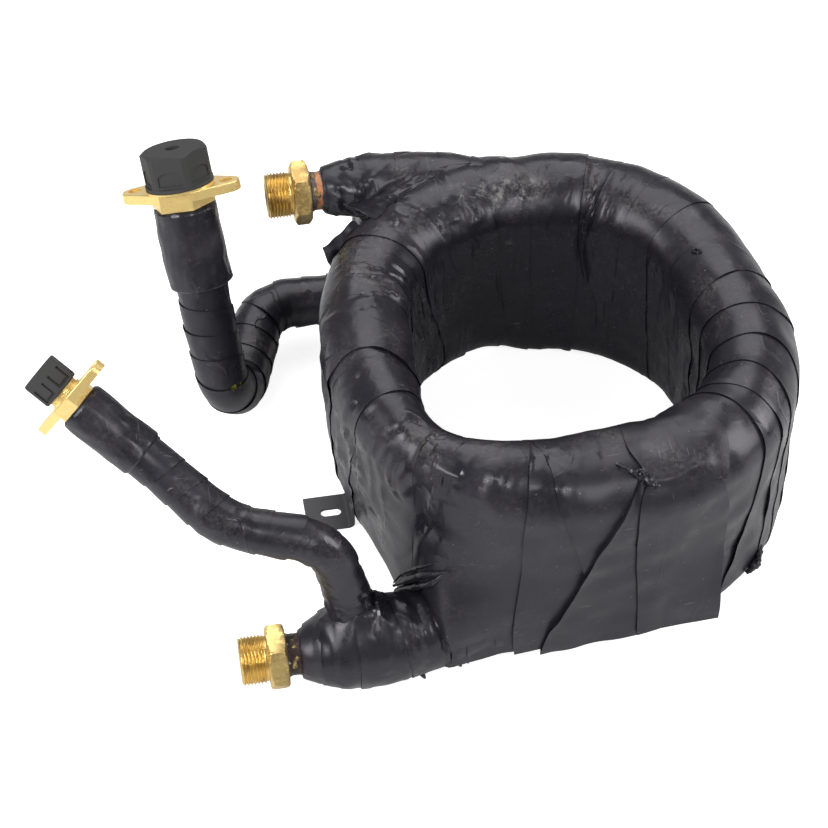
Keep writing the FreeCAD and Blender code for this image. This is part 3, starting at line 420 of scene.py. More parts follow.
UPPER_COLLAR_COPPER = (0.62, 0.27, 0.13)
UPPER_COLLAR_BLACK = (0.018, 0.016, 0.016)
LOWER_COLLAR_TONES = ((0.055, 0.036, 0.034), (0.022, 0.017, 0.017))
LOWER_COLLAR_FLECK = (0.62, 0.62, 0.58)
# Places of marks about the coil's middle, and how far they reach along each axis
BACK_CHALK = ((-18, 120, 178), (58, 17, 26))
PIPE_FLECK = ((-218, 69.5, 63), (6, 8, 3.2))
# Where the scorching on each nipple starts and is full, as x
SCORCHED = {"lower": (-225.0, -205.0), "upper": (-158.0, -140.0)}

# Which finish the solids get that scene.py shows as they are
OUTER_FINISHES = {
    "suction_flange": "brass", "liquid_flange": "brass", "suction_cap": "cap", "liquid_cap": "cap",
    "suction_seal_disc": "copper", "liquid_seal_disc": "copper", "suction_pipe": "copper",
    "liquid_pipe": "copper",
}
INNER_FINISHES = {
    "foot_left": "foot", "foot_rear": "foot", "jacket_coil": "steel", "water_tube": "copper",
    "jacket_reducer_lower": "steel", "jacket_reducer_upper": "steel", "liquid_saddle": "brass",
    "suction_saddle": "brass",
}

# The camera that was fitted to the photograph: its direction, what it looks at about the coil's middle,
# and its focal length in pixels of the photograph's width
AZIMUTH = math.radians(-9.73)
ELEVATION = math.radians(48.39)
AIM = (-100.4, 0, 89.0)
FOCAL_PIXELS = 2144.9
PHOTO_WIDTH = 828
SENSOR_WIDTH = 36
# The lamps: place and aim in metres, size, and power as a part of the overhead lamp's
LAMPS = {
    "lamp_above": ((0.15, 0.95, 1.55), (0, 0, 0.1), 1.6, 1),
    "lamp_left": ((-1.5, -0.5, 1.1), (0, 0, 0.1), 0.9, 0.95),
    "lamp_right": ((1.6, -0.2, 0.9), (0, 0, 0.1), 0.9, 0.8),
    "lamp_front": ((0.45, -1.25, 1.35), (0, 0, 0.1), 0.4, 0.40),
    "lamp_front_left": ((-1.15, -0.80, 1.4), (-0.1, 0, 0.1), 0.4, 0.46),
}
ROOM_LIGHT = 0.21
FLOOR_TONE = 0.82
FLOOR_GLOW = 0.84
FLOOR_REACH = 6.0


# Lines and surfaces

def vectors(*parts):
    """One table of points from the tables of their coordinates."""
    return np.stack(parts, -1)


def net(along, around):
    """Every pair of the values along and round a surface, as two tables."""
    return np.meshgrid(along, around, indexing="ij")


def unit(vector):
    """The same direction with length one."""
    return vector / np.linalg.norm(vector)


def units(table):
    """A table of vectors, each with length one."""
    return table / np.linalg.norm(table, axis=1)[:, None]


def alike(*values):
    """Numbers and tables as tables of one shape."""
    return np.broadcast_arrays(*(np.asarray(value, float) for value in values))


def rounded_line(points, radii, step=1.0):
    """Points along straight runs that are joined by bends, one radius for each inner corner."""
    corners = [np.array(point, float) for point in points]
    line = [corners[0]]
    for before, corner, after, radius in zip(corners, corners[1:], corners[2:], radii):
        arriving = unit(corner - before)
        leaving = unit(after - corner)
        half = math.acos(float(np.clip(arriving @ leaving, -1, 1))) / 2
        if half < 1e-4:
            line.append(corner)
            continue
        middle = corner + unit(leaving - arriving) * (radius / math.cos(half))
        start = corner - arriving * radius * math.tan(half)
        count = max(3, int(2 * half * radius / step))
        for number in range(count + 1):
            angle = 2 * half * number / count
            line.append(middle + (start - middle) * math.cos(angle) + arriving * radius * math.sin(angle))
    line.append(corners[-1])
    return even_line(np.array(line), step)


def even_line(line, step):
    """The same line with points an even step apart."""
    gaps = np.linalg.norm(np.diff(line, axis=0), axis=1)
    line = line[np.r_[True, gaps > 1e-6]]
    along = np.r_[0, np.cumsum(np.linalg.norm(np.diff(line, axis=0), axis=1))]
    wanted = np.linspace(0, along[-1], int(along[-1] / step) + 1)
    return np.stack([np.interp(wanted, along, line[:, axis]) for axis in range(line.shape[1])], 1)


def smoothed(table, width, closed=False):
    """A table of vectors with each column blurred along its length."""
    reach = int(3 * width)
    weights = np.exp(-0.5 * (np.arange(-reach, reach + 1) / width) ** 2)
    weights /= weights.sum()
    mode = "wrap" if closed else "edge"
    return np.stack([np.convolve(np.pad(column, reach, mode=mode), weights, "valid")
                     for column in table.T], 1)


def bend_radius(before, corner, after, cut):
    """The radius of the bend that takes this much off both runs at a corner."""
    arriving = np.subtract(corner, before)
    leaving = np.subtract(after, corner)
    cosine = arriving @ leaving / np.linalg.norm(arriving) / np.linalg.norm(leaving)
    half = math.acos(float(np.clip(cosine, -1, 1))) / 2
    return cut / math.tan(half) if half > 1e-4 else 0.0


class Waves:
    """Smooth random heights in space: a sum of waves that run in random directions, about a size in
    millimetres long."""

    def __init__(self, seed, size, count=20):
        chance = np.random.default_rng(seed)
        heading = units(chance.normal(size=(count, 3)))
        self.numbers = heading * (TAU / size) * chance.uniform(0.6, 1.5, (count, 1))
        self.phases = chance.uniform(0, TAU, count)

    def __call__(self, points):
        total = np.zeros(points.shape[:-1])
        for number, phase in zip(self.numbers, self.phases):
            total += np.sin(points @ number + phase)
        return total * math.sqrt(2 / len(self.phases))


slack = Waves(3, 90)
dents = Waves(5, 34)


def smooth_curve(points, count):
    """Evenly spread points on a smooth line through the given (u, v) points."""
    points = np.array(points, float)
    padded = np.vstack([2 * points[0] - points[1], points, 2 * points[-1] - points[-2]])
    result = []
    for place in np.linspace(0, len(points) - 1 - 1e-9, count):
        number = int(place)
        part = place - number
        before, start, end, after = padded[number:number + 4]
        square = 2 * before - 5 * start + 4 * end - after
        cube = 3 * start - before - 3 * end + after
        result.append(0.5 * (2 * start + (end - before) * part + square * part * part + cube * part ** 3))
    return np.array(result)


def creases(seed, count, u_reach, v_reach, run, height, width):
    """Short, slightly bent creases that run one way over part of a skin."""
    chance = np.random.default_rng(seed)
    lines = []
    for _ in range(count):
        u, v = chance.uniform(*u_reach), chance.uniform(*v_reach)
        size = chance.uniform(0.4, 1.1)
        along, around = run[0] * size * chance.uniform(0.3, 1.7), run[1] * size
        bend = chance.normal(0, 1.6)
        points = ((u, v), (u + along / 2 + bend, v + around / 2), (u + along, v + around))
        sign = 1 if chance.random() < 0.65 else -1
        lines.append((points, sign * height * chance.uniform(0.3, 1.0), width * chance.uniform(0.6, 1.3)))
    return lines


def all_folds(folds, regions, seed=0):
    """The drawn folds, and after them the creases of each region."""
    lines = list(folds)
    for number, *region in regions:
        lines += creases(seed + number, *region)
    return lines


class Relief:
    """The heights of folds over a skin of a given length, with so many millimetres to each step of v."""

    def __init__(self, length, steps, unit_length, folds):
        self.unit = unit_length
        self.counts = (int(length / RELIEF_CELL), int(steps * unit_length / RELIEF_CELL))
        self.cells = (length / self.counts[0], steps * unit_length / self.counts[1])
        self.heights = np.zeros(self.counts)
        for fold in folds:
            self.draw(*fold)

    def draw(self, points, height, width, falls=0.0):
        """Add one fold along a smooth line through its points."""
        line = smooth_curve(points, 5 * len(points)) * (1.0, self.unit)
        reach = 3 * width + 3 * falls
        low = np.floor((line.min(0) - reach) / self.cells).astype(int)
        high = np.ceil((line.max(0) + reach) / self.cells).astype(int)
        rows, columns = np.arange(low[0], high[0] + 1), np.arange(low[1], high[1] + 1)
        spots = vectors(*net(rows * self.cells[0], columns * self.cells[1]))
        nearest = np.full(spots.shape[:2], 1e9)
        place = np.zeros_like(nearest)
        side = np.zeros_like(nearest)
        gone = 0.0
        for start, end in zip(line, line[1:]):
            run = end - start
            size = float(np.linalg.norm(run)) + 1e-9
            part = np.clip((spots - start) @ run / size ** 2, 0, 1)
            off = spots - start - part[..., None] * run
            away = np.linalg.norm(off, axis=-1)
            closer = away < nearest
            nearest = np.where(closer, away, nearest)
            place = np.where(closer, gone + part * size, place)
            side = np.where(closer, run[0] * off[..., 1] - run[1] * off[..., 0], side)
            gone += size
        fade = np.clip(np.minimum(place, gone - place) / (0.3 * gone) + 0.05, 0, 1)
        if falls:
            signed = nearest * np.sign(side)
            shape = (0.5 + 0.5 * np.tanh(signed / width)) * np.exp(-np.clip(signed, 0, None) / falls)
        else:
            shape = np.exp(-(nearest / width) ** 2)
        self.heights[np.ix_(rows % self.counts[0], columns % self.counts[1])] += height * fade * shape

    def __call__(self, u, v):
        """The height at (u, v), between the four cells round it."""
        u = np.mod(u / self.cells[0], self.counts[0])
        v = np.mod(v * self.unit / self.cells[1], self.counts[1])
        row, column = np.floor(u).astype(int), np.floor(v).astype(int)
        down, over = u - row, v - column
        row, column = row % self.counts[0], column % self.counts[1]
        lower, right = (row + 1) % self.counts[0], (column + 1) % self.counts[1]
        first = self.heights[row, column] * (1 - over) + self.heights[row, right] * over
        second = self.heights[lower, column] * (1 - over) + self.heights[lower, right] * over
        return first * (1 - down) + second * down


class RingSkin:
    """The outside of the coil's lagging. u runs along the coil in millimetres, v round its section:
    0 to 1 up the outer wall, 1 to 2 over the crown, 2 to 3 down the inner wall, 3 to 4 underneath."""

    def __init__(self):
        radii = [bend_radius(*PLAN[number:number + 3], cut) for number, cut in enumerate(PLAN_CUTS)]
        line = rounded_line(PLAN, radii)[:-1]
        self.length = float(np.linalg.norm(np.roll(line, -1, 0) - line, axis=1).sum())
        self.line = smoothed(line, LINE_BLUR, True)
        heading = np.roll(self.line, -1, 0) - np.roll(self.line, 1, 0)
        self.heading = units(smoothed(units(heading), HEADING_BLUR, True))
        along = np.arange(len(self.line)) * self.length / len(self.line)
        places, *amounts = np.array(SWELL, float).T
        swell = vectors(*(np.interp(along, places, amount, period=self.length) for amount in amounts))
        self.swell = smoothed(swell, SWELL_BLUR, True)
        self.relief = Relief(self.length, 4, SECTION_UNIT, all_folds(COIL_FOLDS, COIL_CREASES))

    def read(self, table, u):
        """A table's value at a distance along the line."""
        place = np.mod(u, self.length) / self.length * len(table)
        low = np.floor(place).astype(int)
        part = (place - low)[..., None]
        return table[low % len(table)] * (1 - part) + table[(low + 1) % len(table)] * part

    def plain(self, u, v, lift):
        """The smooth skin, a given height over the lagging."""
        u, v, lift = alike(u, v, lift)
        centre = self.read(self.line, u)
        heading = self.read(self.heading, u)
        outward = vectors(heading[..., 1], -heading[..., 0])
        front = (centre[..., 0] - FRONT_STEP[0]) / FRONT_STEP[1]
        rear = (centre[..., 0] - REAR_STEP[0]) / REAR_STEP[1]
        step = np.where(centre[..., 1] < 0, front, rear)
        low = LOWEST_TURN + UNDERSIDE_STEP / (1 + np.exp(step))
        radius = RING_RADIUS + lift
        part = np.mod(v, 4.0)
        side = np.floor(part)
        part = part - side
        turn = math.pi * part
        swell = self.read(self.swell, u)
        wall = [side == 0, side == 1, side == 2, side == 3]
        out = np.select(wall, [np.ones_like(part), (1 + np.cos(turn)) / 2, 0 * part, (1 - np.cos(turn)) / 2])
        up = np.select(wall, [part, np.ones_like(part), 1 - part, 0 * part])
        away = np.select(wall, [radius, radius * np.cos(turn), -radius, -radius * np.cos(turn)])
        away = away + out * (swell[..., 0] * up + swell[..., 1] * (1 - up))
        away = away - (1 - out) * (swell[..., 2] * up + swell[..., 3] * (1 - up))
        height = np.select(wall, [low + part * (HIGHEST_TURN - low), HIGHEST_TURN + radius * np.sin(turn),
                                  HIGHEST_TURN - part * (HIGHEST_TURN - low),
                                  low - (radius - swell[..., 4]) * np.sin(turn)])
        return vectors(centre[..., 0] + outward[..., 0] * away, centre[..., 1] + outward[..., 1] * away,
                       height)

    def __call__(self, u, v, lift):
        bare = self.plain(u, v, 0.0)
        height = lift + SLACK_HEIGHT * slack(bare) + DENT_HEIGHT * dents(bare)
        return self.plain(u, v, height + self.relief(u, v))


class TubeSkin:
    """The outside of a wrapped tube. u runs along it in millimetres, v is turns round it."""

    def __init__(self, line, radius, tip=None, cone=None, seed=1, up=(0, 0, 1), folds=(), flare=None,
                 bulge=None):
        self.line = line
        self.step = float(np.linalg.norm(line[1] - line[0]))
        self.heading = units(smoothed(units(np.gradient(line, axis=0)), TUBE_BLUR))
        side = np.cross(self.heading[0], up)
        sides = []
        for ahead in self.heading:
            side = unit(side - ahead * (side @ ahead))
            sides.append(side)
        self.side = np.array(sides)
        self.radius, self.tip, self.cone = radius, tip, cone
        self.flare, self.bulge = flare, bulge
        self.dents = Waves(seed, 40)
        self.length = self.step * (len(line) - 1)
        self.relief = Relief(self.length, 1, TAU * radius, folds)

    def read(self, table, u):
        """A table's value at a distance along the line."""
        place = np.clip(u / self.step, 0, len(table) - 1.001)
        low = np.floor(place).astype(int)
        part = (place - low)[..., None]
        return table[low] * (1 - part) + table[low + 1] * part

    def __call__(self, u, v, lift):
        u, v, lift = alike(u, v, lift)
        centre = self.read(self.line, u)
        heading = self.read(self.heading, u)
        side = self.read(self.side, u)
        over = np.cross(side, heading)
        radius = np.full(u.shape, self.radius)
        if self.tip is not None:
            radius = self.tip + (self.radius - self.tip) * np.clip(u / self.cone, 0, 1) ** CONE_CURVE
        turn = TAU * v
        outward = side * np.cos(turn)[..., None] + over * np.sin(turn)[..., None]
        bare = centre + outward * radius[..., None]
        if self.flare:
            start, size, fall = self.flare
            radius = radius + size * np.exp(-np.clip(u - start, 0, None) / fall)
        if self.bulge:
            at_u, at_v, size, inner, fall = self.bulge
            around = (np.mod(v - at_v + 0.5, 1) - 0.5) * TAU * self.radius
            radius = radius + size * np.exp(-np.clip(np.hypot(u - at_u, around) - inner, 0, None) / fall)
        near_end = np.clip(u / FOLD_START, 0, 1)
        radius = radius + lift + TUBE_DENT_HEIGHT * self.dents(bare) + near_end * self.relief(u, v)
        return centre + outward * radius[..., None]


def leg_skin(side):
    """The outside of a leg's lagging, from the nipple's end into the coil."""
    places = [np.array(place, float) for place in (LOWER_LEG if side == "lower" else UPPER_LEG)]
    places[0] = places[0] + np.array([LEG_SETBACK, 0, 0])
    if side == "upper":
        places[1:] = [np.array(place) for place in UPPER_LEG_SAG]
    line = rounded_line(places, (LEG_BEND, LEG_BEND))
    return TubeSkin(line, LEG_RADII[side], LEG_TIP, LEG_CONES[side], LEG_SEEDS[side],
                    folds=all_folds(LEG_FOLDS[side], LEG_CREASES[side]),
                    bulge=LOWER_BULGE if side == "lower" else None)


def pipe_skin(pipe):
    """The outside of a refrigerant pipe's lagging, from inside its leg to under its flange."""
    places = [np.array(place, float) for place in (pipe["tee"], *pipe["places"])]
    places[-1] = places[-1] - unit(places[-1] - places[-2]) * pipe["short"]
    folds = all_folds((), PIPE_CREASES, pipe["seed"])
    return TubeSkin(rounded_line(places, pipe["bends"]), pipe["lagging"], seed=pipe["seed"],
                    up=(1, 0.3, 0.1), folds=folds, flare=(pipe["wide_start"], *PIPE_FLARE))


# Meshes

class Shell:
    """The points and faces of one piece, in millimetres about the coil's middle."""

    def __init__(self):
        self.points = []
        self.faces = []
        self.count = 0

    def grid(self, points, round_rows=False, round_columns=False):
        """A sheet of quads over rows and columns of points, closed either way where asked."""
        rows, columns = points.shape[:2]
        index = np.arange(rows * columns).reshape(rows, columns) + self.count
        if round_rows:
            index = np.vstack([index, index[:1]])
        if round_columns:
            index = np.hstack([index, index[:, :1]])
        quads = np.stack([index[:-1, :-1], index[1:, :-1], index[1:, 1:], index[:-1, 1:]], -1)
        self.faces.append(quads.reshape(-1, 4))
        self.points.append(points.reshape(-1, 3))
        self.count += rows * columns

    def strip(self, surface, shown, hidden, lift, columns=16, closed=False, lip=0.35, base=-0.9):
        """A strip of tape between two lines (u, v) on a surface, its edge turned under all round.
        lift(t, s, spots) gives the height over the surface; s is 0 on the shown line."""
        rows = len(shown)
        tuck = 0.4
        undercut = 0.03
        s = np.linspace(0, 1, columns)
        inset = tuck * s[1]
        s = np.r_[inset + undercut, inset, s, 1 - inset, 1 - inset - undercut]
        s_level = np.r_[2, 1, np.zeros(columns), 1, 2]
        t = np.arange(rows, dtype=float)
        t_level = np.zeros(rows)
        if not closed:
            t = np.r_[tuck, tuck, t, rows - 1 - tuck, rows - 1 - tuck]
            t_level = np.r_[2, 1, t_level, 1, 2]
        counted = np.arange(rows)
        lines = [vectors(*(np.interp(t, counted, line[:, axis]) for axis in (0, 1)))
                 for line in (shown, hidden)]
        spots = lines[0][:, None] * (1 - s[None, :, None]) + lines[1][:, None] * s[None, :, None]
        level = np.maximum(t_level[:, None], s_level[None, :])
        height = lift(t[:, None] / (rows - 1), s[None, :], spots)
        height = np.where(level == 1, height - lip, np.where(level == 2, base, height))
        points = surface(spots[..., 0], spots[..., 1], height)
        if spots[0, 0, 0] < spots[0, -1, 0]:
            points = points[:, ::-1]
        self.grid(points, round_rows=closed)

    def lathe(self, point, axis, across, rows, steps=96):
        """Rings round an axis. Each row is a height and a radius, or one radius for each step."""
        axis = unit(np.array(axis, float))
        across = np.array(across, float)
        across = unit(across - axis * (across @ axis))
        other = np.cross(axis, across)
        turn = np.arange(steps) * TAU / steps
        outward = np.cos(turn)[:, None] * across + np.sin(turn)[:, None] * other
        rings = [np.array(point, float) + axis * height + outward * np.broadcast_to(radius, (steps,))[:, None]
                 for height, radius in rows]
        self.grid(np.array(rings), round_columns=True)

    def build(self, name, material, slot, replaces=(), crease=0.6):
        """The finished piece: a mesh that rides with the frame and stands for the named nodes."""
        mesh = bpy.data.meshes.new(name)
        points = (np.concatenate(self.points) + MIDDLE) / 1000
        mesh.from_pydata(points.tolist(), [], np.concatenate(self.faces).tolist())
        mesh.update()
        mesh.shade_smooth()
        mesh.set_sharp_from_angle(angle=crease)
        mesh.materials.append(material)
        piece = bpy.data.objects.new(name, mesh)
        bpy.context.scene.collection.objects.link(piece)
        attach(piece, "root")
        if replaces:
            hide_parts(*replaces)
        return piece


def shingle(top, seed, ripple=0.1, loose=1.0, both=False):
    """The height of a band that lies on its neighbour: highest at its shown edge, with loose places."""
    fine = Waves(seed, 16)
    broad = Waves(seed + 1, 60)

    def lift(t, s, spots):
        u = spots[..., 0]
        v = spots[..., 1]
        place = vectors(u, v * 100, np.zeros_like(u))
        rise = top * (0.75 + 0.6 * (s - 0.5) ** 2) if both else top * (1 - s) ** 1.3
        open_edge = np.clip(broad(place) - 0.6, 0, 1.4) * loose * min(top, 1.0) * (1 - s) ** 5
        wrinkles = ripple * fine(place * np.array([1.0, 0.45, 1.0])) * (1 - 0.6 * s) * (s < 0.97)
        dip = 0.0 if both else (0.15 + 0.35 * min(top, 1.0)) * np.clip((s - 0.9) / 0.1, 0, 1)
        return 0.1 + rise + open_edge + wrinkles - dip

    return lift


# Materials

def put(tree, kind, values=None, **settings):
    """Add a node, with its settings and the values of its sockets."""
    node = tree.nodes.new(kind)
    for key, value in settings.items():
        setattr(node, key, value)
    for socket, value in (values or {}).items():
        node.inputs[socket].default_value = value
    return node


def feed(tree, node, outputs):
    """Link an output to each of a node's sockets, by name or number."""
    for socket, output in outputs.items():
        tree.links.new(output, node.inputs[socket])


def calculate(tree, operation, first, second=None, clamp=False):
    """A Math node on one or two outputs or numbers."""
    node = put(tree, "ShaderNodeMath", operation=operation, use_clamp=clamp)
    for socket, value in enumerate((first, second)):
        if isinstance(value, (int, float)):
            node.inputs[socket].default_value = value
        elif value is not None:
            tree.links.new(value, node.inputs[socket])
    return node.outputs[0]


def product(tree, first, *others, clamp=False):
    """The product of outputs and numbers."""
    for other in others:
        first = calculate(tree, "MULTIPLY", first, other, clamp)
    return first


def spread(tree, value, low, high, to_low=0.0, to_high=1.0):
    """A smooth step of a value from one range to another."""
    node = put(tree, "ShaderNodeMapRange", {"From Min": low, "From Max": high, "To Min": to_low,
                                            "To Max": to_high}, interpolation_type="SMOOTHSTEP")
    tree.links.new(value, node.inputs["Value"])
    return node.outputs["Result"]


def blend(tree, mask, first, second):
    """A colour mixed between two colours or outputs by a mask."""
    node = put(tree, "ShaderNodeMix", data_type="RGBA")
    tree.links.new(mask, node.inputs["Factor"])
    for socket, value in ((6, first), (7, second)):
        if isinstance(value, bpy.types.NodeSocket):
            tree.links.new(value, node.inputs[socket])
        else:
            node.inputs[socket].default_value = (*value, 1.0)
    return node.outputs[2]


def new_group(name, inputs, outputs):
    """A shader node group with named sockets, and its input and output nodes."""
    tree = bpy.data.node_groups.new(name, "ShaderNodeTree")
    for label, default in inputs:
        socket = tree.interface.new_socket(label, in_out="INPUT", socket_type="NodeSocketFloat")
        socket.default_value = default
    for label in outputs:
        tree.interface.new_socket(label, in_out="OUTPUT", socket_type="NodeSocketFloat")
    return tree, put(tree, "NodeGroupInput"), put(tree, "NodeGroupOutput")


def noise(tree, vector, scale, detail=2.0, rough=0.55):
    """A Noise texture on given coordinates; the scale is a number or a socket."""
    node = put(tree, "ShaderNodeTexNoise", {"Detail": detail, "Roughness": rough})
    tree.links.new(vector, node.inputs["Vector"])
    if isinstance(scale, (int, float)):
        node.inputs["Scale"].default_value = scale
    else:
        tree.links.new(scale, node.inputs["Scale"])
    return node.outputs["Fac"]


def stretched(tree, vector, scale, rotation):
    """Coordinates turned and drawn out, for marks that run one way."""
    node = put(tree, "ShaderNodeMapping", {"Scale": scale, "Rotation": rotation})
    tree.links.new(vector, node.inputs["Vector"])
    return node.outputs["Vector"]


def object_place(tree):
    """The place on the object, in metres."""
    return put(tree, "ShaderNodeTexCoord").outputs["Object"]


def group_crinkled_film():
    """Film drawn over foam: soft swells, a few sharp creases and a very fine grain."""
    tree, given, result = new_group("crinkled_film", (("Size", 26.0), ("Creases", 0.4), ("Grain", 0.02)),
                                    ("Height",))
    place = object_place(tree)
    total = noise(tree, place, given.outputs["Size"], 2.0, 0.45)
    for factor, shift, turn in ((1.1, 0.0, (0.5, 0.3, 0.2)), (2.3, 3.0, (1.1, 0.2, 2.0))):
        scale = product(tree, given.outputs["Size"], factor)
        drawn = stretched(tree, place, (1.0, 1.0, 0.35), turn)
        centred = calculate(tree, "SUBTRACT", noise(tree, drawn, scale, 1.5, 0.4), 0.5)
        ridge = spread(tree, calculate(tree, "ABSOLUTE", centred), 0.0, 0.028 * factor, 1.0, 0.0)
        patches = noise(tree, stretched(tree, place, (31, 31, 31), (0, shift, 1)), 1.0, 2.0)
        part = product(tree, ridge, spread(tree, patches, 0.48, 0.62), given.outputs["Creases"])
        total = calculate(tree, "ADD", total, calculate(tree, "DIVIDE", part, factor))
    grain = product(tree, noise(tree, place, 1300.0, 1.0), given.outputs["Grain"])
    feed(tree, result, {"Height": calculate(tree, "ADD", total, grain)})
    return tree


def group_settled_dust():
    """Dust that lies on what faces up, in patches, and a little rubbed on everywhere."""
    tree, given, result = new_group("settled_dust", (("Amount", 0.5), ("Size", 30.0)), ("Mask",))
    place = object_place(tree)
    facing = put(tree, "ShaderNodeSeparateXYZ")
    tree.links.new(put(tree, "ShaderNodeNewGeometry").outputs["Normal"], facing.inputs[0])
    upward = spread(tree, facing.outputs["Z"], 0.1, 1.0, 0.12, 1.0)
    patches = spread(tree, noise(tree, place, given.outputs["Size"], 6.0, 0.65), 0.44, 0.72)
    fine = spread(tree, noise(tree, place, 420.0, 4.0, 0.7), 0.35, 0.75)
    lying = product(tree, upward, patches, fine)
    feed(tree, result, {"Mask": product(tree, lying, given.outputs["Amount"], clamp=True)})
    return tree


def group_fine_scratches():
    """Light scratches in a few directions, and small pale specks."""
    tree, given, result = new_group("fine_scratches", (("Amount", 0.5), ("Specks", 0.5)), ("Mask",))
    place = object_place(tree)
    directions = (((0.3, 0.2, 0.6), (900, 30, 260)), ((1.1, 0.5, 2.2), (40, 800, 300)),
                  ((0.2, 1.4, 1.2), (250, 40, 900)))
    total = None
    for number, (turn, scale) in enumerate(directions):
        lines = noise(tree, stretched(tree, place, scale, turn), 1.0, 1.0)
        where = spread(tree, noise(tree, place, 24.0 + 9 * number, 2.0), 0.5, 0.68)
        part = product(tree, spread(tree, lines, 0.70, 0.78), where)
        total = part if total is None else calculate(tree, "MAXIMUM", total, part)
    total = product(tree, total, given.outputs["Amount"])
    cells = put(tree, "ShaderNodeTexVoronoi", {"Scale": 260.0}, feature="F1")
    tree.links.new(place, cells.inputs["Vector"])
    chosen = put(tree, "ShaderNodeSeparateColor")
    tree.links.new(cells.outputs["Color"], chosen.inputs[0])
    speck = product(tree, spread(tree, cells.outputs["Distance"], 0.06, 0.16, 1.0, 0.0),
                    spread(tree, chosen.outputs["Red"], 0.93, 0.95), given.outputs["Specks"])
    feed(tree, result, {"Mask": calculate(tree, "MAXIMUM", total, speck)})
    return tree


def group_blotches():
    """Uneven patches with soft and hard borders, for tarnish, stains and uneven gloss."""
    tree, given, result = new_group("blotches", (("Amount", 0.5), ("Size", 60.0)), ("Mask",))
    place = object_place(tree)
    field = noise(tree, place, given.outputs["Size"], 8.0, 0.7)
    border = calculate(tree, "SUBTRACT", 0.72, product(tree, given.outputs["Amount"], 0.36))
    above = product(tree, calculate(tree, "SUBTRACT", field, border), 7.0, clamp=True)
    feed(tree, result, {"Mask": above})
    return tree


GROUP_MAKERS = {
    "crinkled_film": group_crinkled_film, "settled_dust": group_settled_dust,
    "fine_scratches": group_fine_scratches, "blotches": group_blotches,
}
GROUPS = {}


def use(tree, name, **values):
    """Place a shared group in a material, with its own values. The group is made at its first use."""
    if name not in GROUPS:
        GROUPS[name] = GROUP_MAKERS[name]()
    node = put(tree, "ShaderNodeGroup", node_tree=GROUPS[name])
    for label, value in values.items():
        node.inputs[label].default_value = value
    return node.outputs[0]


def made_once(maker):
    """A maker of materials that hands back the one of that name if it is there already."""
    def make(name, *details, **values):
        return bpy.data.materials.get(name) or maker(name, *details, **values)
    return make


def new_material(name):
    """A material with only its shader and output."""
    material = bpy.data.materials.new(name)
    material.use_nodes = True
    tree = material.node_tree
    tree.nodes.clear()
    shader = put(tree, "ShaderNodeBsdfPrincipled")
    tree.links.new(shader.outputs[0], put(tree, "ShaderNodeOutputMaterial").inputs[0])
    return material, tree, shader


def bump(tree, shader, height, distance):
    """Drive the shader's normal from a height."""
    node = put(tree, "ShaderNodeBump", {"Distance": distance, "Strength": 1.0})
    tree.links.new(height, node.inputs["Height"])
    tree.links.new(node.outputs["Normal"], shader.inputs["Normal"])


def along_x(tree):
    """The place on the object along X, in metres."""
    place = put(tree, "ShaderNodeSeparateXYZ")
    tree.links.new(object_place(tree), place.inputs[0])
    return place.outputs["X"]


def chalk_mask(tree, middle, reach):
    """Chalky smears near one place, over a reach in millimetres along each axis."""
    centre = tuple((np.array(middle) + MIDDLE) / 1000)
    off = put(tree, "ShaderNodeVectorMath", {1: centre}, operation="SUBTRACT")
    tree.links.new(object_place(tree), off.inputs[0])
    scaled = put(tree, "ShaderNodeVectorMath", {1: tuple(1000 / np.array(reach))}, operation="MULTIPLY")
    tree.links.new(off.outputs[0], scaled.inputs[0])
    away = put(tree, "ShaderNodeVectorMath", operation="LENGTH")
    tree.links.new(scaled.outputs[0], away.inputs[0])
    near = spread(tree, away.outputs["Value"], 0.25, 1.0, 1.0, 0.0)
    drawn = stretched(tree, object_place(tree), (150, 150, 120), (0, 0, 0.4))
    smear = spread(tree, noise(tree, drawn, 1.0, 8.0, 0.8), 0.46, 0.74)
    return product(tree, near, smear, 0.62)


@made_once
def tape_material(name, colours, dust=0.6, size=26.0, depth=0.0012, rough=0.24, crease=0.15, chalk=None,
                  fleck=None):
    """Black film tape: glossy in places, drawn into creases, with dust on top, scratches and smears."""
    material, tree, shader = new_material(name)
    dark, light, dusty = colours
    base = blend(tree, use(tree, "blotches", Amount=0.5, Size=17.0), dark, light)
    dirt = use(tree, "settled_dust", Amount=dust, Size=22.0)
    base = blend(tree, dirt, base, dusty)
    base = blend(tree, use(tree, "fine_scratches", Amount=0.3, Specks=0.6), base, TAPE_SCRATCH)
    if chalk:
        base = blend(tree, chalk_mask(tree, *chalk), base, TAPE_CHALK)
    if fleck:
        base = blend(tree, product(tree, chalk_mask(tree, *fleck), 5.0, clamp=True), base, PAINT_FLECK)
    gloss = spread(tree, use(tree, "blotches", Amount=0.6, Size=30.0), 0.0, 1.0, rough + 0.10, rough - 0.06)
    gloss = calculate(tree, "ADD", gloss, product(tree, dirt, 0.3))
    feed(tree, shader, {"Base Color": base, "Roughness": gloss})
    shader.inputs["Specular Tint"].default_value = (0.95, 0.93, 1.0, 1)
    bump(tree, shader, use(tree, "crinkled_film", Size=size, Creases=crease, Grain=0.02), depth)
    return material


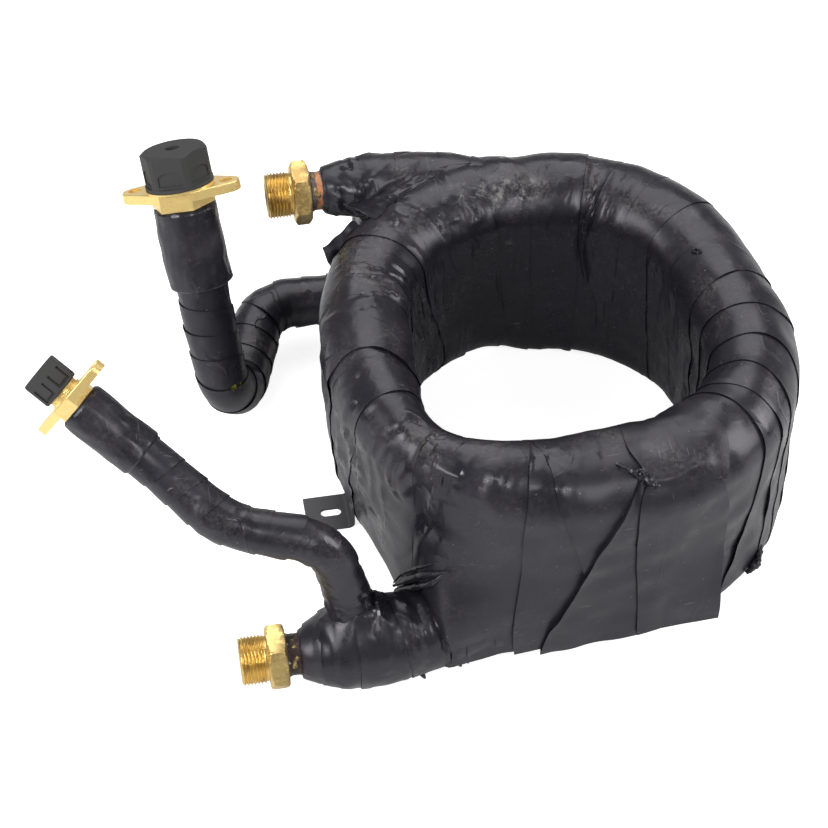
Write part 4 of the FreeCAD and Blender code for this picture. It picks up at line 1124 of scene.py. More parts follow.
@made_once
def metal_material(name, colours, rough=0.34, tarnish=0.5, size=90.0, scorch=None, clean=1.0):
    """Bare metal with tarnish in blotches, fine scratches, pits and, where asked, a scorched end."""
    material, tree, shader = new_material(name)
    bright, dull, dark = colours
    base = blend(tree, use(tree, "blotches", Amount=tarnish, Size=size), bright, dull)
    burnt = use(tree, "blotches", Amount=tarnish * 0.45, Size=size * 2.2)
    if scorch:
        near, far = ((x + MIDDLE[0]) / 1000 for x in scorch)
        end = spread(tree, along_x(tree), near, far)
        uneven = use(tree, "blotches", Amount=0.9, Size=150.0)
        burnt = calculate(tree, "MAXIMUM", burnt, product(tree, end, uneven))
    base = blend(tree, burnt, base, dark)
    base = blend(tree, use(tree, "settled_dust", Amount=0.25, Size=60.0), base, METAL_DUST)
    worn = use(tree, "fine_scratches", Amount=1.0, Specks=0.0)
    dullness = spread(tree, burnt, 0.0, 1.0, rough, rough + 0.35)
    feed(tree, shader, {
        "Base Color": base,
        "Metallic": spread(tree, burnt, 0.0, 1.0, clean, 0.35),
        "Roughness": calculate(tree, "ADD", dullness, product(tree, worn, -0.08)),
    })
    grain = noise(tree, object_place(tree), 420.0, 4.0, 0.6)
    bump(tree, shader, calculate(tree, "ADD", grain, product(tree, burnt, 0.5)), 0.0003)
    return material


@made_once
def plastic_material(name, colour, rough=0.34, dust=0.5, marks=0.14, shine=0.3):
    """Moulded plastic with a fine flow grain, handling marks and dust."""
    material, tree, shader = new_material(name)
    lighter = tuple(part * 1.7 + 0.004 for part in colour)
    base = blend(tree, use(tree, "blotches", Amount=0.45, Size=70.0), colour, lighter)
    base = blend(tree, use(tree, "settled_dust", Amount=dust, Size=80.0), base, PLASTIC_DUST)
    base = blend(tree, use(tree, "fine_scratches", Amount=marks, Specks=0.3), base, PLASTIC_SCRATCH)
    gloss = use(tree, "blotches", Amount=0.5, Size=110.0)
    feed(tree, shader, {"Base Color": base, "Roughness": spread(tree, gloss, 0.0, 1.0, rough, rough + 0.16)})
    shader.inputs["Specular IOR Level"].default_value = shine
    bump(tree, shader, noise(tree, object_place(tree), 700.0, 3.0), 0.00012)
    return material


@made_once
def foam_material(name):
    """Cut closed-cell foam, greyed with dirt."""
    material, tree, shader = new_material(name)
    base = blend(tree, use(tree, "blotches", Amount=0.6, Size=120.0), *FOAM_TONES)
    cells = put(tree, "ShaderNodeTexVoronoi", {"Scale": 900.0})
    tree.links.new(object_place(tree), cells.inputs["Vector"])
    rough = spread(tree, cells.outputs["Distance"], 0.0, 0.6, 0.75, 0.95)
    feed(tree, shader, {"Base Color": base, "Roughness": rough})
    bump(tree, shader, cells.outputs["Distance"], 0.0004)
    return material


@made_once
def collar_material(name, side):
    """The heat-marked collar behind a nipple: dull grey or red-brown, with a bare copper band."""
    material, tree, shader = new_material(name)
    start = (LOWER_LEG if side == "lower" else UPPER_LEG)[0][0] + NIPPLE_LENGTH
    zero = (start + MIDDLE[0]) / 1000 + 0.003
    uneven = product(tree, noise(tree, object_place(tree), 90.0, 3.0), 0.006)
    along = calculate(tree, "ADD", along_x(tree), uneven)
    if side == "upper":
        base = blend(tree, use(tree, "blotches", Amount=0.6, Size=170.0), *UPPER_COLLAR_TONES)
        band = product(tree, spread(tree, along, zero - 0.0042, zero - 0.0034),
                       spread(tree, along, zero - 0.0008, zero, 1.0, 0.0))
        base = blend(tree, band, base, UPPER_COLLAR_COPPER)
        black = spread(tree, along, zero - 0.0078, zero - 0.0066, 1.0, 0.0)
        base = blend(tree, black, base, UPPER_COLLAR_BLACK)
    else:
        base = blend(tree, use(tree, "blotches", Amount=0.6, Size=120.0), *LOWER_COLLAR_TONES)
        specks = spread(tree, noise(tree, object_place(tree), 130.0, 4.0), 0.56, 0.60)
        fleck = product(tree, spread(tree, along, zero - 0.0070, zero - 0.0060, 1.0, 0.0), specks)
        base = blend(tree, fleck, base, LOWER_COLLAR_FLECK)
    feed(tree, shader, {
        "Base Color": base,
        "Roughness": spread(tree, use(tree, "blotches", Amount=0.5, Size=200.0), 0, 1, 0.42, 0.75),
        "Metallic": spread(tree, use(tree, "blotches", Amount=0.6, Size=140.0), 0, 1, 0.55, 0.15),
    })
    bump(tree, shader, noise(tree, object_place(tree), 500.0, 5.0, 0.65), 0.0006)
    return material


def finishes():
    """Every material by its name."""
    look = bpy.context.scene.heat_exchanger_finish
    tape = (tuple(look.tape_dark), tuple(look.tape_light), tuple(look.dust))
    brass = (tuple(0.82 * part for part in look.brass), BRASS_DULL, BRASS_BURNT)
    forging = (tuple(look.brass), FORGING_DULL, BRASS_BURNT)
    copper = (tuple(look.copper), *COPPER_TONES)
    return {
        "tape": tape_material("wound_tape", tape),
        "tape_gathered": tape_material("gathered_tape", tape, size=30.0, depth=0.0013, crease=0.2,
                                       chalk=BACK_CHALK),
        "tape_smooth": tape_material("drawn_tape", tape, dust=0.5, size=20.0, depth=0.0008, rough=0.30),
        "tape_pipe": tape_material("pipe_tape", tape, size=42.0, depth=0.0008, rough=0.25, crease=0.4,
                                   fleck=PIPE_FLECK),
        "foam": foam_material("cut_foam"),
        "brass_lower": metal_material("brass_lower", brass, scorch=SCORCHED["lower"]),
        "brass_upper": metal_material("brass_upper", brass, tarnish=0.7, scorch=SCORCHED["upper"]),
        "brass": metal_material("brass_forging", forging, rough=0.30, tarnish=0.3, size=70.0, clean=0.7),
        "copper": metal_material("copper", copper, rough=0.38),
        "steel": metal_material("steel", STEEL_TONES, rough=0.5, tarnish=0.6),
        "cap": plastic_material("cap_plastic", tuple(look.cap), rough=0.15, dust=0.12, marks=0.04,
                                shine=0.35),
        "foot": plastic_material("foot_paint", FOOT_PAINT, rough=0.42, dust=0.9),
    }


# Settings

class HeatExchangerWrap(bpy.types.PropertyGroup):
    """Sizes of the tape and its folds."""

    overlap: FloatProperty(name="Overlap", description="How far each band runs on under the next",
                           default=0.016, min=0.0, max=0.04, subtype="DISTANCE", unit="LENGTH")
    edge_height: FloatProperty(name="Edge height", description="How far a band's shown edge stands up",
                               default=0.0010, min=0.0, max=0.004, subtype="DISTANCE", unit="LENGTH")
    leg_pitch: FloatProperty(name="Leg lap", description="Distance between the laps on the legs",
                             default=0.026, min=0.01, max=0.06, subtype="DISTANCE", unit="LENGTH")
    pipe_pitch: FloatProperty(name="Pipe lap", description="Distance between the laps on the pipes",
                              default=0.019, min=0.008, max=0.05, subtype="DISTANCE", unit="LENGTH")
    ring_samples: IntProperty(name="Points round a band", description="Points round each band of the coil",
                              default=290, min=40, max=600)


class HeatExchangerFinish(bpy.types.PropertyGroup):
    """Colours of the tape, metal and plastic."""

    tape_dark: FloatVectorProperty(name="Tape, dark", description="Darker tone of the tape", subtype="COLOR",
                                   default=(0.0145, 0.0135, 0.0185), min=0, max=1)
    tape_light: FloatVectorProperty(name="Tape, light", description="Lighter tone of the tape",
                                    subtype="COLOR", default=(0.030, 0.028, 0.036), min=0, max=1)
    dust: FloatVectorProperty(name="Dust", description="Dust on what faces up", subtype="COLOR",
                              default=(0.17, 0.155, 0.135), min=0, max=1)
    brass: FloatVectorProperty(name="Brass", description="Clean brass", subtype="COLOR",
                               default=(1.0, 0.74, 0.29), min=0, max=1)
    copper: FloatVectorProperty(name="Copper", description="Clean copper", subtype="COLOR",
                                default=(0.70, 0.34, 0.18), min=0, max=1)
    cap: FloatVectorProperty(name="Cap", description="Moulded caps", subtype="COLOR",
                             default=(0.0075, 0.0070, 0.0080), min=0, max=1)


class HeatExchangerStage(bpy.types.PropertyGroup):
    """Camera distance and lamp power."""

    distance: FloatProperty(name="Camera distance", description="From the camera to the coil",
                            default=1.5014, min=0.5, max=5.0, subtype="DISTANCE", unit="LENGTH")
    lamp_power: FloatProperty(name="Lamp power", description="Power of the overhead lamp",
                              default=18.0, min=0.0, max=200.0, subtype="POWER", unit="POWER")


# Pieces

def band_edges(v):
    """Each band's edge on the coil, as distance along it at each v."""
    places = np.array(BAND_PLACES)
    knots = np.r_[places - 4, places, places + 4]
    ring = vectors(np.cos(v * TAU / 4), np.sin(v * TAU / 4), np.zeros_like(v))
    edges = []
    for number, row in enumerate(BAND_EDGES):
        line = np.interp(v, knots, np.array(row * 3, float))
        line = smoothed(line[:, None], EDGE_BLUR * len(v), True)[:, 0]
        edges.append(line + 0.7 * Waves(40 + number, 1.4)(ring))
    return edges


class HEATEX_OT_coil_wrap(bpy.types.Operator):
    """Lay the foam skin and the wound bands of tape round the coil"""

    bl_idname = "heat_exchanger.coil_wrap"
    bl_label = "Coil wrap"
    bl_options = {"REGISTER", "UNDO"}

    def execute(self, context):
        wrap = context.scene.heat_exchanger_wrap
        finish = finishes()
        skin = RingSkin()
        base = Shell()
        base.grid(skin.plain(*net(np.arange(0, skin.length, 3.5), np.arange(0, 4, 0.035)), -COIL_UNDERWRAP),
                  True, True)
        base.build("coil_underwrap", finish["tape_smooth"], "tape", ("coil_tape", "coil_lagging"))

        v = np.linspace(-0.5, 3.5, wrap.ring_samples, endpoint=False)
        edges = band_edges(v)
        overlap = wrap.overlap * 1000
        height = wrap.edge_height * 1000
        for name, numbers in COIL_SIDES.items():
            shell = Shell()
            for number in numbers:
                if number < MIDDLE_BAND:
                    ends = (edges[number], edges[number + 1] + overlap)
                elif number == MIDDLE_BAND:
                    ends = (edges[number], edges[number + 1])
                elif number < LAST_BAND:
                    ends = (edges[number + 1], edges[number] - overlap)
                else:
                    ends = (edges[0] + skin.length + overlap, edges[number] - overlap)
                seed = LAST_BAND_SEED if number == LAST_BAND else 100 + 3 * number
                lift = shingle(height * EDGE_FACTORS.get(number, 1.0), seed, both=number == MIDDLE_BAND)
                shown, hidden = (vectors(end, v) for end in ends)
                shell.strip(skin, shown, hidden, lift, 25, True)
            shell.build(name, finish["tape_gathered" if name == "coil_bands_back" else "tape"], "tape")
        return {"FINISHED"}


def wound_shell(skin, edges, far, top, seed):
    """Bands wound round a tube, each lying on the next one along."""
    shell = Shell()
    v = np.linspace(0, 1, 132, endpoint=False)
    lean = 3.0
    chance = np.random.default_rng(seed)
    for number, (start, end) in enumerate(zip(edges, far)):
        tilt = lean * chance.uniform(-1, 1)
        turn = chance.uniform(0, TAU)
        wobble = tilt * np.cos(TAU * v + turn) + 0.5 * np.cos(TAU * 3 * v + 2 * turn)
        columns = int(np.clip(np.mean(end - start) / 1.8, 10, 26))
        shell.strip(skin, vectors(start + wobble, v), vectors(end + wobble, v),
                    shingle(top, seed + 5 * number, 0.1, 0.5), columns, True)
    return shell


class HEATEX_OT_leg_wraps(bpy.types.Operator):
    """Wrap the two legs with tape, drawn in over their round ends"""

    bl_idname = "heat_exchanger.leg_wraps"
    bl_label = "Leg wraps"
    bl_options = {"REGISTER", "UNDO"}

    def execute(self, context):
        wrap = context.scene.heat_exchanger_wrap
        finish = finishes()
        pitch = wrap.leg_pitch * 1000
        for side, seed in LEG_SEEDS.items():
            skin = leg_skin(side)
            base = Shell()
            u, v = net(np.r_[0.0, 0.6, 1.6, 3, np.arange(5, skin.length, 3.0)], np.arange(0, 1, 1 / 90))
            base.grid(skin(u, v, -TUBE_UNDERWRAP * np.clip(u / 4, 0, 1)), False, True)
            base.lathe(skin.line[0], TO_THE_LEFT, TO_THE_BACK, LEG_END, 90)
            base.build("leg_underwrap_" + side, finish["tape_smooth"], "tape",
                       ("leg_tape_" + side, "leg_lagging_" + side))
            edges = np.array(LOWER_LAPS) if side == "lower" else np.arange(1.0, skin.length - 8, pitch)
            far = np.minimum(np.r_[edges[1:], edges[-1] + pitch] + LEG_OVERLAP, skin.length - 0.5)
            wound_shell(skin, edges, far, 0.9, seed * 10).build("leg_bands_" + side, finish["tape"], "tape")
        return {"FINISHED"}


def hanging(skin):
    """The coil's skin for a sheet drawn down over the lower leg, hanging straight below the outer wall."""
    def surface(u, v, lift):
        points = skin(u, np.maximum(v, SHEET_FOOT), lift)
        part = np.clip((HANG_TOP - v) / HANG_RUN, 0, 1)
        part = part * part * (3 - 2 * part)
        near = np.where(u > skin.length / 2, u - skin.length, u)
        fade = np.clip((near - HANG_START) / HANG_FADE, 0, 1)
        part = part * fade * fade * (3 - 2 * fade)
        push = LEG_PUSH * np.clip((LEG_PUSH_START - points[..., 0]) / LEG_PUSH_RUN, 0, 1)
        front = -HALF_DEPTH - HANG_REACH - push - lift
        points[..., 1] += part * (np.minimum(points[..., 1], front) - points[..., 1])
        points[..., 2] += np.minimum(v - SHEET_FOOT, 0) * SECTION_UNIT
        return points
    return surface


def draped(top, bottom, curl, seed):
    """The height of a front sheet: from its shown edge to its other one, curled and rippled."""
    fine = Waves(seed, 24)

    def lift(t, s, spots):
        u, v = spots[..., 0], spots[..., 1]
        place = vectors(u, v * 100, 0 * u)
        flat = 0.0055 * np.clip(u - 57, 0, None) ** 2 * np.clip((1.14 - v) / 0.1, 0, 1)
        rise = bottom + (top - bottom) * (1 - s) ** 1.6 + curl * np.exp(-s * 14) * np.sin(np.pi * t)
        rise = rise * (1 - 0.8 * np.clip((v - 1.28) / 0.27, 0, 1))
        return rise + flat + 0.16 * fine(place) + 0.5 * np.clip(fine(place * 0.5), 0, 2) * (1 - s) ** 6

    return lift


class HEATEX_OT_front_sheet(bpy.types.Operator):
    """Lay the wide sheets of tape across the front of the coil"""

    bl_idname = "heat_exchanger.front_sheet"
    bl_label = "Front sheet"
    bl_options = {"REGISTER", "UNDO"}

    def execute(self, context):
        skin = RingSkin()
        shell = Shell()
        for number, (shown, hidden, top, bottom, curl) in enumerate(FRONT_SHEETS):
            shell.strip(hanging(skin), smooth_curve(shown, 110), smooth_curve(hidden, 110),
                        draped(top, bottom, curl, 700 + number), 30, lip=0.25)
        shell.build("front_tape_sheets", finishes()["tape_smooth"], "tape", ("front_tape_sheet",))
        return {"FINISHED"}


def twisted(line, radii, seed, crumple):
    """A thin rolled or crumpled twist of tape along a line."""
    tube = TubeSkin(line, 1.0, seed=seed, up=(0.3, 1, 0.2))
    u, v = net(np.linspace(0, tube.length, 22), np.arange(0, 1, 1 / 14))
    lumps = Waves(seed + 3, 2.2)
    widths = np.interp(u / tube.length, np.linspace(0, 1, len(radii)), radii)
    return tube(u, v, widths * (1 + crumple * lumps(vectors(u, v * 9, 0 * u))) - 1.0)


def twist(skin, path, radii, seed, crumple):
    """A twist of tape that lies on a skin. path holds (u, v, height)."""
    line = skin.plain(*smooth_curve(path, 14).T)
    return twisted(even_line(line, 0.8), radii, seed, crumple)


def tick(leg, u, v, seed):
    """A small torn tick of tape that stands off a leg's lap."""
    start = leg(u, v, -0.5)
    line = np.array([start + np.array(TICK_STEP) * number for number in range(7)])
    tube = TubeSkin(line, 1.0, seed=seed, up=(0, 1, 0.2))
    along, around = net(np.linspace(0, tube.length, 8), np.arange(0, 1, 1 / 8))
    return tube(along, around, 0.5 - 1.2 * (along / tube.length) ** 2)


def bridging_film(leg, coil):
    """The surface of the tape that hangs between the upper leg and the coil, crumpled in its middle."""
    part = np.linspace(0, 1, 40)
    sides = [skin(start[0] + run[0] * part, start[1] + run[1] * part, height)
             for skin, (start, run, height) in ((leg, BRIDGE_ON_LEG), (coil, BRIDGE_ON_COIL))]
    wrinkles = Waves(341, 14)

    def film(across, along, lift):
        near, far = (vectors(*(np.interp(along, part, side[:, axis]) for axis in range(3))) for side in sides)
        flat = near * (1 - across[..., None]) + far * across[..., None]
        crumple = 0.9 * wrinkles(vectors(across * 20, along * 95, 0 * across))
        crumple = crumple * np.sin(np.pi * np.clip(across, 0, 1))
        return flat + np.array(BRIDGE_OUTWARD) * (lift + crumple)[..., None]

    return film


class HEATEX_OT_loose_bits(bpy.types.Operator):
    """Add the rolled fold over the lower leg, and the torn and curled bits of tape"""

    bl_idname = "heat_exchanger.loose_bits"
    bl_label = "Loose bits"
    bl_options = {"REGISTER", "UNDO"}

    def execute(self, context):
        finish = finishes()
        skin = RingSkin()
        roll = Shell()
        for number, (path, radii) in enumerate(ROLLED_FOLDS):
            roll.grid(twisted(even_line(smooth_curve(path, 14), 0.8), radii, 301 + number, 0.1), False, True)
        roll.grid(twist(skin, *RIGHT_ROLL), False, True)
        roll.build("rolled_folds", finish["tape_pipe"], "tape")
        torn = Shell()
        for bit in TORN_BITS:
            torn.grid(twist(skin, *bit), False, True)
        leg = leg_skin("lower")
        for number, (u, v) in enumerate(LEG_TICKS):
            torn.grid(tick(leg, u, v, 331 + number), False, True)
        torn.build("torn_bits", finish["tape_gathered"], "tape")

        bridge = Shell()
        along = np.linspace(0, 1, 70)
        bridge.strip(bridging_film(leg_skin("upper"), skin), vectors(0 * along, along),
                     vectors(0 * along + 1, along),
                     lambda t, s, spots: 0.8 - 0.7 * t + 0 * spots[..., 0], 26, lip=0.3, base=-3.0)
        bridge.build("leg_bridge_tape", finish["tape_gathered"], "tape")
        return {"FINISHED"}


class HEATEX_OT_loose_end(bpy.types.Operator):
    """Bend the loose corner of tape that stands off behind the upper leg"""

    bl_idname = "heat_exchanger.loose_end"
    bl_label = "Loose end"
    bl_options = {"REGISTER", "UNDO"}

    def execute(self, context):
        fine = Waves(91, 16)
        t = np.linspace(0, 3, 30)
        top, low = (vectors(*(np.interp(t, range(4), side) for side in zip(*outline)))
                    for outline in (CORNER_TOP, CORNER_LOW))

        def plane(x, z, lift):
            bend = CORNER_BEND * (z - CORNER_MIDDLE) ** 2
            return vectors(x, CORNER_Y + 1.2 * fine(vectors(x, z, 0 * x)) + bend - lift, z)

        shell = Shell()
        shell.strip(plane, top, low, lambda t, s, spots: 0.9 + 0 * spots[..., 0], 18, lip=0.3, base=0.0)
        shell.build("loose_tape_corner", finishes()["tape"], "tape", ("loose_tape_end",))
        return {"FINISHED"}


class HEATEX_OT_pipe_wraps(bpy.types.Operator):
    """Wind tape in a long spiral round the lagging of both refrigerant pipes"""

    bl_idname = "heat_exchanger.pipe_wraps"
    bl_label = "Pipe wraps"
    bl_options = {"REGISTER", "UNDO"}

    def execute(self, context):
        finish = finishes()
        pitch = context.scene.heat_exchanger_wrap.pipe_pitch * 1000
        for name, pipe in PIPES.items():
            skin = pipe_skin(pipe)
            shell = Shell()
            u, v = net(np.arange(18, skin.length, 2.5), np.arange(0, 1, 1 / 64))
            shell.grid(skin(u, v, -TUBE_UNDERWRAP), False, True)
            turns = (skin.length - 28) / pitch
            v = np.linspace(0, turns, int(turns * 84))
            wobble = 0.7 * np.sin(v * 2.3) + 0.5 * np.sin(v * 5.1 + 1)
            shown = vectors(20 + v * pitch + wobble, v)
            hidden = vectors(np.minimum(shown[:, 0] + pitch * 1.35, skin.length - 0.2), v)
            if name == "suction":
                shown, hidden = hidden, shown
            shell.strip(skin, shown, hidden, shingle(1.0, pipe["seed"] * 7, 0.12, 0.6), 12)
            shell.build(name + "_pipe_wrap", finish["tape_pipe"], "tape", (name + "_tape", name + "_lagging"))
        return {"FINISHED"}


def flange_frame(pipe):
    """Where a pipe's flange stands, its axis, and the line of its lobes."""
    before, end = (np.array(place, float) for place in pipe["places"][-2:])
    return end, unit(end - before), pipe["lobes"]


def ring_points(turn, radius, height):
    """Points round an axis at one height, where waves are read."""
    return vectors(np.cos(turn) * radius, np.sin(turn) * radius, np.full(len(turn), height))


class HEATEX_OT_sleeves(bpy.types.Operator):
    """Slip the thicker foam sleeves on under the flanges"""

    bl_idname = "heat_exchanger.sleeves"
    bl_label = "Sleeves"
    bl_options = {"REGISTER", "UNDO"}

    def execute(self, context):
        finish = finishes()
        steps = 96
        turn = np.arange(steps) * TAU / steps
        for name, pipe in PIPES.items():
            wall, length, seed = pipe["sleeve"]
            outer = pipe["lagging"] + wall + 1.0
            top = -pipe["short"]
            wrinkles = Waves(seed, 9)
            dented = Waves(seed + 1, 30)
            ridge = np.exp(-((np.mod(turn - 1.1, TAU)) / 0.05) ** 2)
            rows = [(top - length + 1.0, pipe["lagging"] + 0.2)]
            for height in np.linspace(top - length, top, 34):
                from_end = min(height - (top - length), top - height)
                soft = math.sqrt(max(0.0, 1 - (1 - min(from_end / 3.0, 1)) ** 2))
                place = ring_points(turn, outer, height)
                rough = 0.16 * wrinkles(place * np.array([1, 1, 0.5])) + 0.3 * dented(place) + 0.8 * ridge
                rows.append((height, outer - 1.6 * (1 - soft) + rough - 0.3))
            shell = Shell()
            shell.lathe(*flange_frame(pipe), rows, steps)
            shell.build(name + "_sleeve_wrap", finish["tape_pipe"], "foam_skin", (name + "_sleeve",))
            end = Shell()
            width = outer - 1.2 - pipe["radius"]
            rings = [(top - 0.35 + 0.3 * math.sin(7 * number), pipe["radius"] + 0.1 + width * number / 8)
                     for number in range(9)]
            end.lathe(*flange_frame(pipe), rings, steps)
            end.build(name + "_foam_end", finish["foam"], "foam")
        return {"FINISHED"}


def hexagon_radii(flats, steps):
    """Distance from the axis to a hexagon's side at each step round it."""
    turn = np.arange(steps) * TAU / steps
    return flats / 2 / np.cos(np.mod(turn, TAU / 6) - TAU / 12)


def thread_rows(bottom, top, crest, depth, pitch, steps, fade):
    """Rows of a screw thread, faded in and out at its ends."""
    turn = np.arange(steps) / steps
    rows = []
    for height in np.arange(bottom, top + 1e-6, pitch / 9):
        wave = np.abs(np.mod(height / pitch - turn, 1.0) * 2 - 1)
        shape = np.clip((wave - 0.12) / 0.76, 0, 1)
        ends = min(1.0, (height - bottom) / fade + 0.35, (top - height) / fade + 0.15)
        rows.append((height, crest - depth + depth * shape * ends))
    return rows


class HEATEX_OT_nipples(bpy.types.Operator):
    """Turn the brass nipples with their real thread, and the scorched brazing behind them"""

    bl_idname = "heat_exchanger.nipples"
    bl_label = "Water nipples"
    bl_options = {"REGISTER", "UNDO"}

    def execute(self, context):
        finish = finishes()
        steps = 192
        hexagon = hexagon_radii(HEXAGON_FLATS, steps)
        for side, places in (("lower", LOWER_LEG), ("upper", UPPER_LEG)):
            foot = np.array(places[0], float) + np.array([NIPPLE_LENGTH, 0, 0])
            rows = list(NIPPLE_FOOT)
            for height in HEXAGON_HEIGHTS:
                from_end = min(height - HEXAGON_HEIGHTS[0], HEXAGON_HEIGHTS[-1] - height)
                limit = HEXAGON_FACE + from_end / math.tan(math.radians(HEXAGON_CHAMFER))
                rows.append((height, np.minimum(hexagon, min(limit, HEXAGON_FLATS / math.sqrt(3)))))
            rows += [*NIPPLE_NECK, *thread_rows(steps=steps, **NIPPLE_THREAD), *NIPPLE_BORE]
            shell = Shell()
            shell.lathe(foot, TO_THE_LEFT, TO_THE_BACK, rows, steps)
            shell.build("water_nipple_thread_" + side, finish["brass_" + side], "brass",
                        ("water_nipple_" + side,), crease=0.5)
            turn = np.arange(96) * TAU / 96
            lumps = Waves(COLLAR_SEEDS[side], 7)
            collar = []
            for height in np.linspace(*COLLAR_HEIGHTS, 16):
                swell = sum(size * math.exp(-((height - middle) / width) ** 2)
                            for middle, width, size in COLLAR_BEADS)
                uneven = 0.16 * lumps(ring_points(turn, 14, height))
                collar.append((height, COLLAR_RADIUS + swell + uneven))
            ring = Shell()
            ring.lathe(foot, TO_THE_LEFT, TO_THE_BACK, collar, 96)
            ring.build("brazed_collar_" + side, collar_material("brazed_collar_" + side, side), "copper")
        return {"FINISHED"}


def finish_nodes(chosen):
    """Give nodes of the frame their finished materials."""
    finish = finishes()
    for name, key in chosen.items():
        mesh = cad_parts[name].data
        mesh.materials.clear()
        mesh.materials.append(finish[key])


class HEATEX_OT_flanges(bpy.types.Operator):
    """Finish the flanges, discs and caps, and cut the threads that show under the caps"""

    bl_idname = "heat_exchanger.flanges"
    bl_label = "Flanges and caps"
    bl_options = {"REGISTER", "UNDO"}

    def execute(self, context):
        finish_nodes(OUTER_FINISHES)
        for name, pipe in PIPES.items():
            bottom, top, crest = pipe["thread"]
            shell = Shell()
            shell.lathe(*flange_frame(pipe), thread_rows(bottom, top, crest, 0.6, 1.4, 96, 0.5), 96)
            shell.build(name + "_spigot_thread", finishes()["brass"], "brass")
        return {"FINISHED"}


class HEATEX_OT_feet(bpy.types.Operator):
    """Paint the feet and finish the metal inside the wrap"""

    bl_idname = "heat_exchanger.feet"
    bl_label = "Feet and inner metal"
    bl_options = {"REGISTER", "UNDO"}

    def execute(self, context):
        finish_nodes(INNER_FINISHES)
        return {"FINISHED"}


def fitted_camera(distance):
    """The camera that was fitted to the photograph, at a distance in metres from what it looks at."""
    level = math.cos(ELEVATION)
    back = Vector((math.sin(AZIMUTH) * level, -math.cos(AZIMUTH) * level, math.sin(ELEVATION)))
    right = Vector((math.cos(AZIMUTH), math.sin(AZIMUTH), 0))
    target = (Vector(AIM) + Vector(MIDDLE)) / 1000
    data = bpy.data.cameras.new("camera")
    data.sensor_width = SENSOR_WIDTH
    data.lens = FOCAL_PIXELS * SENSOR_WIDTH / PHOTO_WIDTH
    data.clip_start = 0.05
    camera = bpy.data.objects.new("camera", data)
    turn = Matrix((right, back.cross(right), back)).transposed().to_4x4()
    camera.matrix_world = Matrix.Translation(target + back * distance) @ turn
    return camera


def soft_lamp(name, place, aim, size, power):
    """A square lamp that looks from its place at a point."""
    light = bpy.data.lights.new(name, "AREA")
    light.shape = "SQUARE"
    light.size = size
    light.energy = power
    lamp = bpy.data.objects.new(name, light)
    lamp.location = place
    lamp.rotation_euler = (Vector(aim) - Vector(place)).to_track_quat("-Z", "Y").to_euler()
    return lamp


def soft_room():
    """A world that lights softly and is white where the camera sees it."""
    world = bpy.data.worlds.new("soft_room")
    world.use_nodes = True
    tree = world.node_tree
    tree.nodes.clear()
    path = put(tree, "ShaderNodeLightPath")
    shade = put(tree, "ShaderNodeBackground", {"Color": (1, 1, 1, 1), "Strength": ROOM_LIGHT})
    plain = put(tree, "ShaderNodeBackground", {"Color": (1, 1, 1, 1), "Strength": 1.0})
    choose = put(tree, "ShaderNodeMixShader")
    feed(tree, choose, {0: path.outputs["Is Camera Ray"], 1: shade.outputs[0], 2: plain.outputs[0]})
    feed(tree, put(tree, "ShaderNodeOutputWorld"), {0: choose.outputs[0]})
    return world


def white_floor():
    """A floor like white paper, brightened where the camera sees it."""
    material = bpy.data.materials.new("white_floor")
    material.use_nodes = True
    tree = material.node_tree
    tree.nodes.clear()
    path = put(tree, "ShaderNodeLightPath")
    paper = put(tree, "ShaderNodeBsdfDiffuse", {"Color": (FLOOR_TONE, FLOOR_TONE, FLOOR_TONE, 1)})
    glow = put(tree, "ShaderNodeEmission", {"Color": (1, 1, 1, 1)})
    feed(tree, glow, {"Strength": product(tree, path.outputs["Is Camera Ray"], FLOOR_GLOW)})
    total = put(tree, "ShaderNodeAddShader")
    feed(tree, total, {0: paper.outputs[0], 1: glow.outputs[0]})
    feed(tree, put(tree, "ShaderNodeOutputMaterial"), {0: total.outputs[0]})
    mesh = bpy.data.meshes.new("floor")
    corners = [(x * FLOOR_REACH, y * FLOOR_REACH, 0) for x, y in ((-1, -1), (1, -1), (1, 1), (-1, 1))]
    mesh.from_pydata(corners, [], [(0, 1, 2, 3)])
    mesh.materials.append(material)
    return bpy.data.objects.new("floor", mesh)


class HEATEX_OT_stage(bpy.types.Operator):
    """Set up the camera, the soft lamps and the white floor"""

    bl_idname = "heat_exchanger.stage"
    bl_label = "Stage"
    bl_options = {"REGISTER", "UNDO"}

    def execute(self, context):
        scene = context.scene
        stage = scene.heat_exchanger_stage
        camera = fitted_camera(stage.distance)
        scene.collection.objects.link(camera)
        scene.camera = camera
        for name, (place, aim, size, share) in LAMPS.items():
            scene.collection.objects.link(soft_lamp(name, place, aim, size, stage.lamp_power * share))
        scene.world = soft_room()
        floor = white_floor()
        scene.collection.objects.link(floor)
        scene.view_settings.view_transform = "Standard"
        return {"FINISHED"}


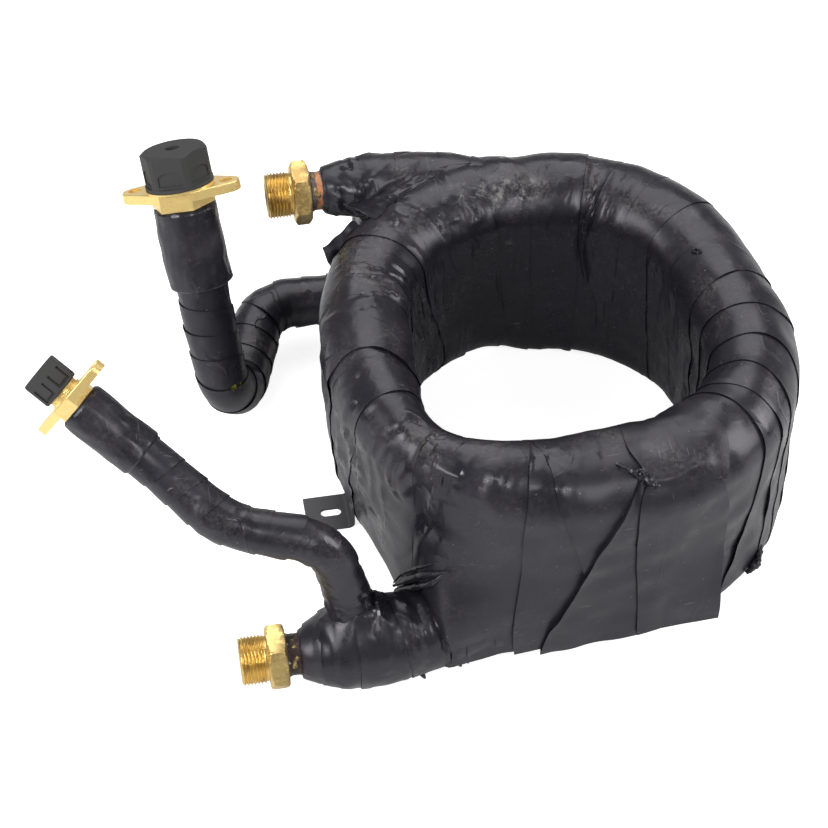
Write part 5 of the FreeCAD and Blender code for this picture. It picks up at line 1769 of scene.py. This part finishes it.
PIECES = (
    HEATEX_OT_stage, HEATEX_OT_coil_wrap, HEATEX_OT_leg_wraps, HEATEX_OT_front_sheet, HEATEX_OT_loose_bits,
    HEATEX_OT_loose_end, HEATEX_OT_pipe_wraps, HEATEX_OT_sleeves, HEATEX_OT_nipples, HEATEX_OT_flanges,
    HEATEX_OT_feet,
)


class HEATEX_PT_panel(bpy.types.Panel):
    """The settings, and a button for each piece"""

    bl_label = "Heat exchanger"
    bl_idname = "HEATEX_PT_panel"
    bl_space_type = "VIEW_3D"
    bl_region_type = "UI"
    bl_category = "Heat exchanger"

    def draw(self, context):
        layout = self.layout
        scene = context.scene
        for settings in (scene.heat_exchanger_wrap, scene.heat_exchanger_finish, scene.heat_exchanger_stage):
            box = layout.box()
            for name in settings.bl_rna.properties.keys():
                if name not in {"rna_type", "name"}:
                    box.prop(settings, name)
        for piece in PIECES:
            layout.operator(piece.bl_idname)


CLASSES = (HeatExchangerWrap, HeatExchangerFinish, HeatExchangerStage, *PIECES, HEATEX_PT_panel)


def register():
    for cls in CLASSES:
        bpy.utils.register_class(cls)
    bpy.types.Scene.heat_exchanger_wrap = PointerProperty(type=HeatExchangerWrap)
    bpy.types.Scene.heat_exchanger_finish = PointerProperty(type=HeatExchangerFinish)
    bpy.types.Scene.heat_exchanger_stage = PointerProperty(type=HeatExchangerStage)


def unregister():
    del bpy.types.Scene.heat_exchanger_stage
    del bpy.types.Scene.heat_exchanger_finish
    del bpy.types.Scene.heat_exchanger_wrap
    for cls in reversed(CLASSES):
        bpy.utils.unregister_class(cls)


def main():
    """Build the whole object."""
    register()
    for build in (bpy.ops.heat_exchanger.stage, bpy.ops.heat_exchanger.coil_wrap,
                  bpy.ops.heat_exchanger.leg_wraps, bpy.ops.heat_exchanger.front_sheet,
                  bpy.ops.heat_exchanger.loose_bits, bpy.ops.heat_exchanger.loose_end,
                  bpy.ops.heat_exchanger.pipe_wraps, bpy.ops.heat_exchanger.sleeves,
                  bpy.ops.heat_exchanger.nipples, bpy.ops.heat_exchanger.flanges,
                  bpy.ops.heat_exchanger.feet):
        build()


if __name__ == "__main__":
    main()
